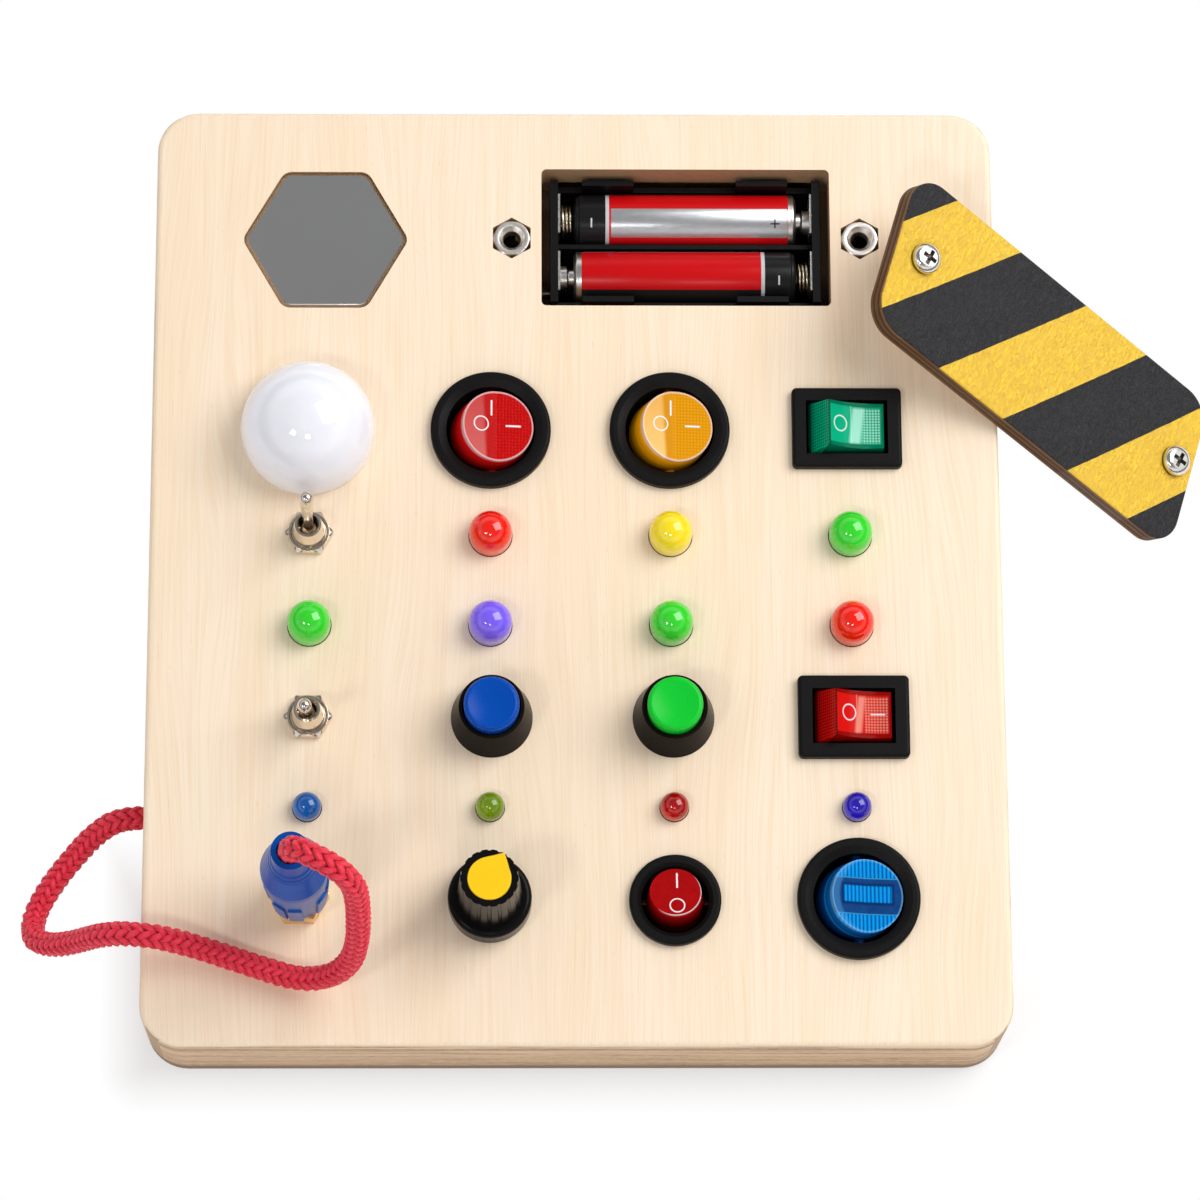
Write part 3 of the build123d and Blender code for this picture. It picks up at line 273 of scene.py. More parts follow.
def ply():
    """Pale face veneer above, banded layers down the sides, and scorched walls in the cut-outs."""
    finish = Finish("ply_birch", (0.94, 0.78, 0.6), 0.5, Specular_IOR_Level=0.2)
    at = finish.place()
    x, y, z = finish.split(at)
    normal = finish.split(finish.node("NewGeometry", {}).outputs["Normal"])
    flow = finish.noise(finish.place(stretch=(0.035, 0.006, 0.035)), 1.0, 2)
    sideways = finish.node("CombineXYZ", {0: finish.times(flow, 22.0)}).outputs[0]
    bent = finish.node("VectorMath", {0: at, 1: sideways}, operation="ADD").outputs[0]
    lines = finish.noise(finish.stretched(bent, (2.6, 0.035, 2.6)), 1, 5, 0.6)
    broad = finish.noise(finish.stretched(bent, (0.11, 0.006, 0.11)), 1, 3)
    flecks = finish.noise(finish.stretched(at, (2.8, 0.42, 2.8)), 1, 2)
    face = finish.mix(finish.ramp(broad, (0.36, 0.0), (0.66, 1.0)), (0.97, 0.82, 0.64),
                      (0.95, 0.775, 0.575))
    face = finish.mix(finish.ramp(lines, (0.42, 0.0), (0.7, 0.55)), face, (0.86, 0.64, 0.42))
    face = finish.mix(finish.ramp(flecks, (0.7, 0.0), (0.8, 0.5)), face, (0.8, 0.57, 0.37))

    run = finish.noise(finish.place(stretch=(0.03, 0.03, 0.75)), 1.0, 4, 0.6)
    fibre = finish.noise(finish.place(stretch=(0.6, 0.6, 5.0)), 1.0, 4, 0.6)
    layers = finish.ramp(
        finish.span(z, 0.0, TOP),
        (0.0, (0.42, 0.25, 0.13)), (0.13, (0.36, 0.21, 0.1)), (0.16, (0.3, 0.17, 0.08)),
        (0.22, (0.52, 0.32, 0.17)), (0.5, (0.6, 0.38, 0.21)), (0.78, (0.72, 0.48, 0.28)),
        (0.87, (0.2, 0.1, 0.04)), (0.91, (0.7, 0.48, 0.28)), (1.0, (0.96, 0.78, 0.58)))
    side = finish.mix(finish.ramp(run, (0.46, 0.0), (0.62, 0.75)), layers, (0.3, 0.15, 0.06))
    side = finish.mix(finish.ramp(fibre, (0.4, 0.0), (0.62, 0.5)), side, (0.84, 0.62, 0.4))
    outer = either(finish, finish.math("GREATER_THAN", finish.math("ABSOLUTE", x), SIDE_X),
                   finish.math("GREATER_THAN", finish.math("ABSOLUTE", y), SIDE_Y))
    scorch = finish.mix(fibre, (0.3, 0.17, 0.085), (0.6, 0.4, 0.23))
    walls = finish.mix(outer, scorch, side)
    upright = finish.span(normal[2], 0.35, 0.8)
    finish.set("Base Color", finish.mix(upright, walls, face))
    finish.set("Roughness", finish.span(lines, 0.3, 0.7, 0.42, 0.6))
    finish.bump(lines, 0.03)
    finish.bump(flecks, 0.02)
    return finish


# ---------------------------------------------------------------- shaping
def rounded(*corners):
    """A profile from (radius, height[, rounding]) corners, each rounding an arc of a few points."""
    points = [Vector(c[:2]) for c in corners]
    soft = [c[2] if len(c) > 2 else 0.0 for c in corners]
    line = []
    for i, (point, radius) in enumerate(zip(points, soft)):
        if not radius or i in (0, len(points) - 1):
            line.append(tuple(point))
            continue
        into = (points[i - 1] - point).normalized()
        out = (points[i + 1] - point).normalized()
        half = into.angle(out) / 2
        reach = radius / (sin(half) / cos(half))
        centre = point + (into + out).normalized() * radius / sin(half)
        start = point + into * reach - centre
        sweep = start.angle_signed(point + out * reach - centre)
        steps = max(2, round(abs(sweep) / radians(18)))
        for k in range(steps + 1):
            angle = -sweep * k / steps
            line.append(tuple(centre + Matrix.Rotation(angle, 2) @ start))
    return line


def lathe(profile):
    """A form turned about Z from (radius, height) points."""
    form = bmesh.new()
    points = [form.verts.new((r, 0, z)) for r, z in profile]
    edges = [form.edges.new(pair) for pair in zip(points, points[1:])]
    bmesh.ops.spin(form, geom=points + edges, cent=(0, 0, 0), axis=(0, 0, 1), angle=tau,
                   steps=TURN_STEPS, use_merge=True, use_duplicate=False)
    bmesh.ops.remove_doubles(form, verts=form.verts, dist=1e-4)
    bmesh.ops.recalc_face_normals(form, faces=form.faces)
    return form


def put(form, x=0.0, y=0.0, z=0.0, turn=None):
    if turn is not None:
        bmesh.ops.transform(form, matrix=turn.to_4x4(), verts=form.verts)
    bmesh.ops.translate(form, vec=(x, y, z), verts=form.verts)
    return form


def together(forms):
    whole = bmesh.new()
    for form in forms:
        part = bpy.data.meshes.new("part")
        form.to_mesh(part)
        form.free()
        whole.from_mesh(part)
        bpy.data.meshes.remove(part)
    return whole


def finished(name, form, body, finish, stands_for, sharp):
    """Brings a form to metres as a piece of the object, with edges past an angle kept sharp."""
    bmesh.ops.scale(form, vec=(MM, MM, MM), verts=form.verts)
    mesh = bpy.data.meshes.new(name)
    form.to_mesh(mesh)
    form.free()
    mesh.materials.append(finish.material)
    mesh.shade_smooth()
    mesh.set_sharp_from_angle(angle=radians(sharp))
    piece = bpy.data.objects.new(name, mesh)
    bpy.context.scene.collection.objects.link(piece)
    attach(piece, body)
    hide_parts(stands_for)


def dress(finish, *names):
    """Gives CAD nodes a finish."""
    for name in names:
        nodes[name].data.materials.clear()
        nodes[name].data.materials.append(finish.material)


def about(axis, degrees):
    return Matrix.Rotation(radians(degrees), 3, axis)


# ---------------------------------------------------------------- rope
STRANDS = 8
STRAND_RADIUS = 0.7
STRAND_PITCH, STRAND_CORE, STRAND_WAVE, STRAND_STEP = 15.0, 1.28, 0.44, 0.45
GROOVE_BOTTOM, GROOVE_DEPTH = 1.2, 1.1
# Control points in mm, from inside the hole in the left wall to the plug.
ROUTE = [
    (-81.0, -46.3, 11.0), (-85.6, -46.3, 11.0), (-90.4, -48.0, 7.6), (-95.2, -52.2, 4.2),
    (-99.8, -58.0, 3.4), (-103.0, -64.4, 3.5), (-102.2, -69.3, 7.2), (-97.4, -71.3, 12.8),
    (-92.2, -71.6, 19.0), (-87.4, -72.1, 27.3), (-80.9, -72.8, 30.9), (-74.4, -73.5, 28.8),
    (-67.4, -75.1, 25.7), (-59.3, -77.7, 24.8), (-51.0, -80.5, 25.8), (-45.0, -80.5, 29.5),
    (-41.3, -78.8, 35.5), (-40.0, -76.6, 43.1), (-39.6, -74.0, 51.8), (-39.7, -71.8, 59.2),
    (-40.4, -70.6, 64.6), (-42.4, -69.3, 67.8), (-46.0, -67.3, 69.1), (-49.7, -65.3, 67.8),
    (-51.6, -64.2, 64.2), (-51.6, -64.2, 59.9),
]


def read_line(points, resolution=24):
    """The smooth line of a NURBS spline on these control points."""
    curve = bpy.data.curves.new("line", "CURVE")
    curve.dimensions = "3D"
    spline = curve.splines.new("NURBS")
    spline.points.add(len(points) - 1)
    for knot, point in zip(spline.points, points):
        knot.co = (*point, 1)
    spline.order_u = 3
    spline.use_endpoint_u = True
    spline.resolution_u = resolution
    holder = bpy.data.objects.new("line", curve)
    bpy.context.scene.collection.objects.link(holder)
    mesh = bpy.data.meshes.new_from_object(holder)
    line = [v.co.copy() for v in mesh.vertices]
    bpy.data.objects.remove(holder)
    bpy.data.meshes.remove(mesh)
    return line


def frames_along(line):
    """Length, point and a steady sideways pair at each point of a line."""
    frames = []
    run = 0.0
    side = Vector((0, 1, 0))
    for i, point in enumerate(line):
        ahead = (line[min(i + 1, len(line) - 1)] - line[max(i - 1, 0)]).normalized()
        side = (side - ahead * side.dot(ahead)).normalized()
        if i:
            run += (point - line[i - 1]).length
        frames.append((run, point, side.copy(), ahead.cross(side)))
    return frames


def strand_points(frames, start, hand):
    """One strand's helix, passing over two strands of the other hand and under two."""
    total = frames[-1][0]
    count = int(total / STRAND_STEP)
    points = []
    k = 0
    for i in range(count + 1):
        run = total * i / count
        while k < len(frames) - 2 and frames[k + 1][0] < run:
            k += 1
        span = frames[k + 1][0] - frames[k][0]
        share = (run - frames[k][0]) / span
        centre = frames[k][1].lerp(frames[k + 1][1], share)
        side = frames[k][2].lerp(frames[k + 1][2], share)
        other = frames[k][3].lerp(frames[k + 1][3], share)
        angle = start + hand * tau * run / STRAND_PITCH
        radius = STRAND_CORE + hand * STRAND_WAVE * cos(4 * angle - pi / 4)
        points.append(centre + (side * cos(angle) + other * sin(angle)) * radius)
    return points


def rope_crimson():
    finish = Finish("rope_crimson", (0.62, 0.012, 0.035), 0.45, Sheen_Weight=0.12, Sheen_Roughness=0.4,
                    Specular_IOR_Level=0.35)
    at = finish.place()
    fuzz = finish.noise(at, 3.0, 4, 0.7)
    uv = finish.split(finish.node("UVMap", {}, uv_map="UVMap").outputs[0])
    yarns = finish.math("SINE", finish.times(uv[1], tau * 7))
    color = finish.mix(finish.ramp(fuzz, (0.3, 0.0), (0.7, 1.0)), (0.72, 0.01, 0.03), (0.95, 0.03, 0.07))
    shade = finish.span(yarns, -1.0, 1.0, 0.0, 0.25)
    color = finish.mix(shade, color, (0.4, 0.004, 0.012))
    depth = finish.node("Attribute", {}, attribute_name="depth").outputs["Fac"]
    # Painted shade darkens the braid's grooves by their depth, and a painted highlight lightens the tops of
    # the strands.
    braid_groove_shade = finish.ramp(depth, (0.5, 0.75), (0.76, 0.0))
    color = finish.mix(finish.ramp(depth, (0.86, 0.0), (1.0, 0.6)), color, (1.0, 0.05, 0.12))
    finish.set("Base Color", finish.mix(braid_groove_shade, color, (0.12, 0.001, 0.005)))
    finish.bump(yarns, 0.03)
    finish.bump(fuzz, 0.05)
    return finish


def make_rope(finish):
    """A braid of round strands along the route; its depth attribute is 0 in the grooves and 1 outside, and
    its finish paints shade and highlights from it.
    """
    line = read_line([Vector(p) for p in ROUTE])
    frames = frames_along(line)
    bundle = bpy.data.curves.new("rope", "CURVE")
    bundle.dimensions = "3D"
    bundle.bevel_depth = STRAND_RADIUS * MM
    bundle.bevel_resolution = 1
    for hand, shift in ((1, 0), (-1, 0.25)):
        for k in range(STRANDS):
            points = strand_points(frames, tau * (k + shift) / STRANDS, hand)
            spline = bundle.splines.new("POLY")
            spline.points.add(len(points) - 1)
            for knot, point in zip(spline.points, points):
                knot.co = (*(point * MM), 1)
    holder = bpy.data.objects.new("rope_curves", bundle)
    bpy.context.scene.collection.objects.link(holder)
    mesh = bpy.data.meshes.new_from_object(holder)
    bpy.data.objects.remove(holder)
    mesh.name = "rope_braid"
    middle = KDTree(len(line))
    for i, point in enumerate(line):
        middle.insert(point * MM, i)
    middle.balance()
    depth = mesh.attributes.new("depth", "FLOAT", "POINT")
    for vert in mesh.vertices:
        out = (middle.find(vert.co)[2] / MM - GROOVE_BOTTOM) / GROOVE_DEPTH
        depth.data[vert.index].value = min(1, max(0, out))
    mesh.materials.clear()
    mesh.materials.append(finish.material)
    mesh.shade_smooth()
    rope = bpy.data.objects.new("rope_braid", mesh)
    bpy.context.scene.collection.objects.link(rope)
    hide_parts("rope")
    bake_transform(rope)


# ---------------------------------------------------------------- marks and masks
def bar(finish, x, y, x0, x1, y0, y1, soft=0.05):
    return finish.times(finish.between(x, x0, x1, soft), finish.between(y, y0, y1, soft))


def ring(finish, x, y, centre, radius, line, stretch=1.0):
    """A printed ring: its middle line's radius, and the line's half width."""
    dx = finish.math("SUBTRACT", x, centre[0])
    dy = finish.times(finish.math("SUBTRACT", y, centre[1]), 1 / stretch)
    far = finish.math("SQRT", finish.math("ADD", finish.times(dx, dx), finish.times(dy, dy)))
    return finish.between(far, radius - line, radius + line, 0.05)


def distance(finish, x, y):
    return finish.math("SQRT", finish.math("ADD", finish.times(x, x), finish.times(y, y)))


def either(finish, *masks):
    whole = masks[0]
    for mask in masks[1:]:
        whole = finish.math("MAXIMUM", whole, mask)
    return whole


def dots(finish, x, y, pitch):
    """A grid of small raised dots, 0 between them and 1 on them."""
    across = finish.math("ABSOLUTE", finish.math("SINE", finish.times(x, pi / pitch)))
    along = finish.math("ABSOLUTE", finish.math("SINE", finish.times(y, pi / pitch)))
    return finish.times(across, along)


def round_lens(name, place, bright, pale):
    """A round rocker's clear cap: a frosted left part under a painted reflection, a dotted right part and
    printed marks, with painted shade and light on its sides and a painted edge highlight.
    """
    finish = Finish(name, bright, 0.16, Specular_IOR_Level=0.03)
    x, y, z = finish.split(finish.place((*place, LENS_FOOT), about("Y", ROUND_TILT)))
    far = distance(finish, x, y)
    cloudy = finish.noise(finish.place(), 0.5, 3)
    face = finish.span(z, 4.6, 5.0)
    on_right = finish.span(x, -1.2, -0.4)
    grid = dots(finish, x, y, 0.62)
    lit = finish.mix(finish.times(grid, on_right), scaled(bright, 0.8), bright)
    lit = finish.mix(finish.times(cloudy, 0.25), lit, scaled(bright, 0.8))
    # Painted reflection: a pale wash over the left part of the face, stronger towards the near side.
    left = finish.span(finish.math("SUBTRACT", x, finish.times(y, -0.05)), -2.2, -2.9)
    reflection_fade = finish.span(y, 7.0, -6.0, 0.35, 0.85)
    lit = finish.mix(finish.times(left, reflection_fade), lit, pale)
    # Painted shade low on the skirt and painted light towards its top, with a painted bright band round it.
    skirt = finish.span(z, 1.0, 4.4)
    arc = finish.between(z, 2.1, 2.6, 0.25)
    side = finish.mix(skirt, scaled(bright, 0.6), scaled(bright, 1.2))
    side = finish.mix(finish.times(arc, 0.6), side, bright)
    color = finish.mix(face, side, lit)
    # Painted highlight: a thin pale line along the face's edge.
    rim_highlight = finish.between(far, 6.62, 7.0, 0.06)
    color = finish.mix(finish.times(rim_highlight, face, 0.5), color, (0.8, 0.7, 0.72))
    marks = either(
        finish, bar(finish, x, y, -1.35, -1.03, 2.05, 5.1), bar(finish, x, y, 1.6, 4.5, -0.03, 0.32),
        ring(finish, x, y, (-3.24, 0.3), 1.4, 0.12))
    finish.set("Base Color", finish.mix(finish.times(marks, face), color, WHITE))
    finish.set("Roughness", finish.mix(left, (0.12, 0.12, 0.12), (0.3, 0.3, 0.3)))
    finish.bump(finish.times(grid, on_right, face), 0.04)
    return finish


def ribbed_lens(name, place):
    """The blue rocker's cap: frosted flats, and bands of fine ribs with a ribbed slot between them."""
    finish = Finish(name, (0.005, 0.2, 0.6), 0.2, Specular_IOR_Level=0.02)
    x, y, z = finish.split(finish.place((*place, LENS_FOOT), about("Y", ROUND_TILT)))
    far = distance(finish, x, y)
    face = finish.span(z, 4.6, 5.0)
    ribs = finish.math("ABSOLUTE", finish.math("SINE", finish.times(x, pi / 0.76)))
    slot = bar(finish, x, y, -4.6, 4.8, -1.3, 1.9, 0.15)
    upper = finish.math("GREATER_THAN", y, 3.4)
    lower = finish.math("LESS_THAN", y, -3.6)
    ribbed = either(finish, slot, upper, lower)
    cloudy = finish.noise(finish.place(), 0.9, 3)
    flat = finish.mix(cloudy, (0.001, 0.028, 0.13), (0.003, 0.065, 0.25))
    # Painted highlight and painted shade: the ribs are lighter on their crests and darker between them.
    comb = finish.mix(ribs, (0.001, 0.06, 0.26), (0.002, 0.3, 0.8))
    lit = finish.mix(ribbed, flat, comb)
    # Painted shade: a dark outline round the slot.
    slot_outline_shade = finish.math("SUBTRACT", bar(finish, x, y, -5.1, 5.3, -1.8, 2.4, 0.15), slot)
    lit = finish.mix(finish.times(slot_outline_shade, 0.8), lit, (0.0, 0.02, 0.11))
    # Painted highlight: thin pale lines along the edges of the ribbed bands.
    band_edge_highlight = either(finish, finish.between(y, 3.2, 3.4, 0.06), finish.between(y, -3.6, -3.4, 0.06))
    lit = finish.mix(finish.times(band_edge_highlight, 0.6), lit, (0.05, 0.4, 0.75))
    # Painted light: a pale band along the face's edge, widest on the left.
    crescent_glow = finish.span(finish.math("SUBTRACT", far, finish.times(x, 0.35)), 6.9, 7.6)
    lit = finish.mix(finish.times(crescent_glow, 0.25), lit, (0.1, 0.4, 0.8))
    # Painted shade low on the skirt and painted light towards its top, with a painted bright band round it.
    skirt = finish.span(z, 1.0, 4.4)
    side = finish.mix(skirt, (0.001, 0.04, 0.18), (0.002, 0.11, 0.4))
    side = finish.mix(finish.times(finish.between(z, 2.1, 2.6, 0.25), 0.5), side, (0.03, 0.35, 0.8))
    color = finish.mix(face, side, lit)
    # Painted highlight: a thin pale line along the face's edge.
    rim_highlight = finish.between(far, 6.62, 7.0, 0.06)
    color = finish.mix(finish.times(rim_highlight, face, 0.4), color, (0.2, 0.5, 0.85))
    finish.set("Base Color", color)
    finish.bump(finish.times(ribs, ribbed, face), 0.12)
    finish.bump(finish.times(slot, face), 0.1)
    return finish


def square_lens(name, place, bright, dark, pale, ring_at, dash, grid_span, band):
    """A square rocker's clear cap with a block inside under a painted glow, a dot grid, painted highlights,
    painted shade on its sides and printed marks.
    """
    finish = Finish(name, bright, 0.14, Specular_IOR_Level=0.04)
    x, y, z = finish.split(finish.place((*place, LENS_FOOT), about("Y", SQUARE_TILT)))
    top_face = finish.span(z, 4.3, 4.7)
    inner = finish.times(bar(finish, x, y, -5.2, 5.0, -3.75, 3.75, 0.12), top_face)
    grid = finish.times(dots(finish, x, y, 0.55), bar(finish, x, y, *grid_span, -3.5, 3.4, 0.1))
    # Painted glow: the block dims towards its right edge.
    glow = finish.span(x, 5.0, 0.5, 0.45)
    lit = finish.mix(glow, scaled(bright, 0.5), bright)
    lit = finish.mix(finish.times(grid, 0.8), lit, pale)
    # Painted highlight: a pale slanted band across the block.
    tilted = finish.math("SUBTRACT", x, finish.times(y, 0.12))
    sheen = bar(finish, tilted, y, *band, -3.6, 3.4, 0.3)
    lit = finish.mix(finish.times(sheen, 0.75), lit, pale)
    left = finish.span(x, -4.6, -5.4)
    lit = finish.mix(left, lit, bright)
    # Painted shade: the sides darken towards the bottom.
    side = finish.mix(finish.span(z, 1.5, 5.0), dark, scaled(bright, 0.4))
    facet = finish.mix(dots(finish, y, z, 0.6), scaled(bright, 0.35), scaled(bright, 1.3))
    side = finish.mix(finish.math("LESS_THAN", x, -5.3), side, facet)
    color = finish.mix(inner, side, lit)
    ridge = finish.between(x, -5.55, -5.2, 0.08)
    color = finish.mix(finish.times(ridge, 0.7), color, scaled(bright, 0.1))
    # Painted highlight: a thin pale line along the band's left edge.
    line = finish.times(finish.between(x, band[0] - 0.08, band[0] + 0.08, 0.05), inner)
    color = finish.mix(finish.times(line, 0.6), color, pale)
    marks = ring(finish, x, y, ring_at, 1.35, 0.12, 1.12)
    if dash:
        marks = either(finish, marks, bar(finish, x, y, *dash, 0.04))
    color = finish.mix(finish.times(marks, top_face, 0.75), color, WHITE)
    finish.set("Base Color", color)
    finish.bump(finish.times(grid, top_face), 0.04)
    finish.bump(inner, 0.08)
    return finish


def small_lens():
    place = (18.3, ROWS[5] + 0.2)
    finish = Finish("lens_small_red", (0.4, 0.001, 0.002), 0.16, Specular_IOR_Level=0.1)
    x, y, z = finish.split(finish.place((*place, LENS_FOOT), about("X", SMALL_TILT)))
    face = finish.span(z, 3.8, 4.1)
    cloudy = finish.noise(finish.place(), 0.9, 3)
    lit = finish.mix(cloudy, (0.3, 0.002, 0.003), (0.46, 0.004, 0.005))
    # Painted shade low on the skirt, lighter towards its top.
    skirt = finish.span(z, 0.8, 3.6)
    side = finish.mix(skirt, (0.03, 0.001, 0.001), (0.25, 0.002, 0.003))
    color = finish.mix(face, side, lit)
    marks = either(finish, bar(finish, x, y, 0.14, 0.46, 0.85, 3.9),
                   ring(finish, x, y, (0.3, -2.75), 1.35, 0.12))
    # Painted highlight: a pale line along the near right of the face's edge, drawn with the white marks.
    rim_highlight = finish.between(distance(finish, x, y), 4.68, 4.82, 0.04)
    lower = finish.span(finish.math("SUBTRACT", x, y), 0.0, 4.0)
    marks = either(finish, marks, finish.times(rim_highlight, lower, 0.8))
    finish.set("Base Color", finish.mix(finish.times(marks, face), color, WHITE))
    finish.bump(cloudy, 0.02)
    return finish


# ---------------------------------------------------------------- cells
def cell_label(name, centre, toward, panel, dark):
    """A cell's signs and plain bands: bare can, red film, silver panel, thin line and black end."""
    finish = Finish(name, (0.6, 0.005, 0.008), 0.28, Specular_IOR_Level=0.2)
    x, y, z = finish.split(finish.place(centre))
    run = finish.times(x, toward)
    angle = finish.times(finish.math("ARCTAN2", y, z), 180 / pi)
    scuff = finish.noise(finish.place(stretch=(0.3, 1, 1)), 1.6, 4)
    color = finish.mix(finish.times(scuff, 0.4), (0.64, 0.004, 0.007), (0.5, 0.003, 0.006))
    silver = finish.mix(scuff, (0.42, 0.43, 0.45), (0.6, 0.61, 0.63))
    on_panel = finish.times(finish.between(angle, *panel, 0.8), finish.between(run, -15.0, 19.4, 0.1))
    color = finish.mix(on_panel, color, silver)
    color = finish.mix(finish.between(angle, *dark, 0.8), color, (0.012, 0.012, 0.013))
    color = finish.mix(finish.math("LESS_THAN", run, -15.4), color, (0.6, 0.61, 0.63))
    color = finish.mix(finish.math("LESS_THAN", run, -16.1), color, (0.01, 0.01, 0.011))
    plus = either(finish, bar(finish, run, angle, 16.0, 17.8, panel[0] + 30, panel[0] + 33, 0.05),
                  bar(finish, run, angle, 16.75, 17.05, panel[0] + 22, panel[0] + 41, 0.05))
    minus = bar(finish, run, angle, -19.0, -18.7, -32, -12, 0.05)
    color = finish.mix(plus, color, (0.05, 0.05, 0.05))
    color = finish.mix(minus, color, (0.7, 0.7, 0.72))
    bare = finish.math("GREATER_THAN", run, 19.5)
    color = finish.mix(bare, color, (0.72, 0.71, 0.69))
    finish.set("Base Color", color)
    finish.set("Metallic", either(finish, bare, finish.times(on_panel, 0.7)))
    finish.bump(scuff, 0.01)
    return finish


def make_cell(name, toward, panel, dark):
    node = "battery_" + name
    low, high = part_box(node)
    centre = (Vector(low) + Vector(high)) / 2 / MM
    half = (high[0] - low[0]) / 2 / MM
    can = half * 2 - CELL_BUTTON
    form = lathe(rounded((0, 0), (3.4, 0), (3.6, 0.25, 0.1), (4.85, 0.25, 0.4), (5.0, 0.8), (5.08, 1.0),
                         (5.25, 1.1, 0.1), (5.25, can - 2.0), (5.2, can - 1.9), (5.2, can - 0.5, 0.45),
                         (4.4, can, 0.2), (2.6, can - 0.25, 0.2), (1.9, can - 0.1, 0.1),
                         (1.85, can + CELL_BUTTON, 0.4), (0, can + CELL_BUTTON)))
    put(form, z=-half)
    put(form, *centre, turn=about("Y", 90 * toward))
    label = cell_label("label_" + name, centre, toward, panel, dark)
    finished(node + "_can", form, name, label, node, CELL_SHARP)


# ---------------------------------------------------------------- nuts and screws
def corner_radius(flats):
    """A hexagon's corner radius from its width across flats."""
    return flats / 2 / cos(pi / 6)


def hexed(form, flats):
    """Cuts a turned form down to a hexagon with corners on the X axis."""
    for vert in form.verts:
        far = hypot(vert.co.x, vert.co.y)
        angle = atan2(vert.co.y, vert.co.x) % (pi / 3) - pi / 6
        reach = flats / 2 / cos(angle)
        if far > reach:
            vert.co.x *= reach / far
            vert.co.y *= reach / far
    return form


def make_inserts(steel):
    forms = []
    low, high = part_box("cover_inserts")
    y = (low[1] + high[1]) / 2 / MM
    base, top = low[2] / MM, high[2] / MM
    for side in (-1, 1):
        outer = corner_radius(INSERT_FLATS)
        form = hexed(lathe(rounded((1.65, base), (outer, base), (outer, top - 0.4), (3.35, top, 0.12),
                                   (2.5, top, 0.15), (2.2, top - 0.5), (1.72, top - 1.0, 0.2),
                                   (1.65, base))), INSERT_FLATS)
        forms.append(put(form, BAY_X + side * INSERT_REACH, y, 0))
    finished("cover_insert_nuts", together(forms), "board", steel, "cover_inserts",
             NUT_SHARP)


def make_toggle_nuts(steel):
    forms = []
    for x, y in TOGGLES:
        outer = corner_radius(TOGGLE_FLATS)
        form = hexed(lathe(rounded((3.17, 0), (outer, 0), (outer, 1.5), (3.85, 2.0, 0.1), (3.5, 2.0, 0.1),
                                   (3.17, 1.8), (3.17, 0))), TOGGLE_FLATS)
        forms.append(put(form, x, y, TOP))
    finished("toggle_hex_nuts", together(forms), "board", steel, "toggle_nuts", NUT_SHARP)


# ---------------------------------------------------------------- cover
def cover_frame():
    return about("Z", -30.4) @ about("Y", 29.1) @ about("X", -6.8)


def cross_head(name, along):
    """Polished steel, with painted shade in the cross and round the head's foot."""
    finish = Finish(name, (0.86, 0.83, 0.8), 0.16, Metallic=1.0)
    centre = Vector(COVER) + cover_frame() @ Vector((along, COVER_SCREW_SIDE, 0))
    x, y, z = finish.split(finish.place(centre, cover_frame()))
    cross = either(finish, bar(finish, x, y, -1.5, 1.5, -0.42, 0.42),
                   bar(finish, x, y, -0.42, 0.42, -1.5, 1.5))
    foot = finish.times(finish.between(distance(finish, x, y), 2.75, 3.2), finish.span(z, 0.9, 0.3))
    worn = finish.noise(finish.place(), 1.2, 3)
    plain = finish.mix(worn, (0.9, 0.87, 0.83), (0.72, 0.69, 0.66))
    # Painted shade: the cross and the ring round the head's foot are near-black.
    finish.set("Base Color", finish.mix(finish.times(either(finish, cross, foot), 0.92), plain,
                                        PAINTED_SHADE_BLACK))
    finish.bump(worn, 0.01)
    return finish


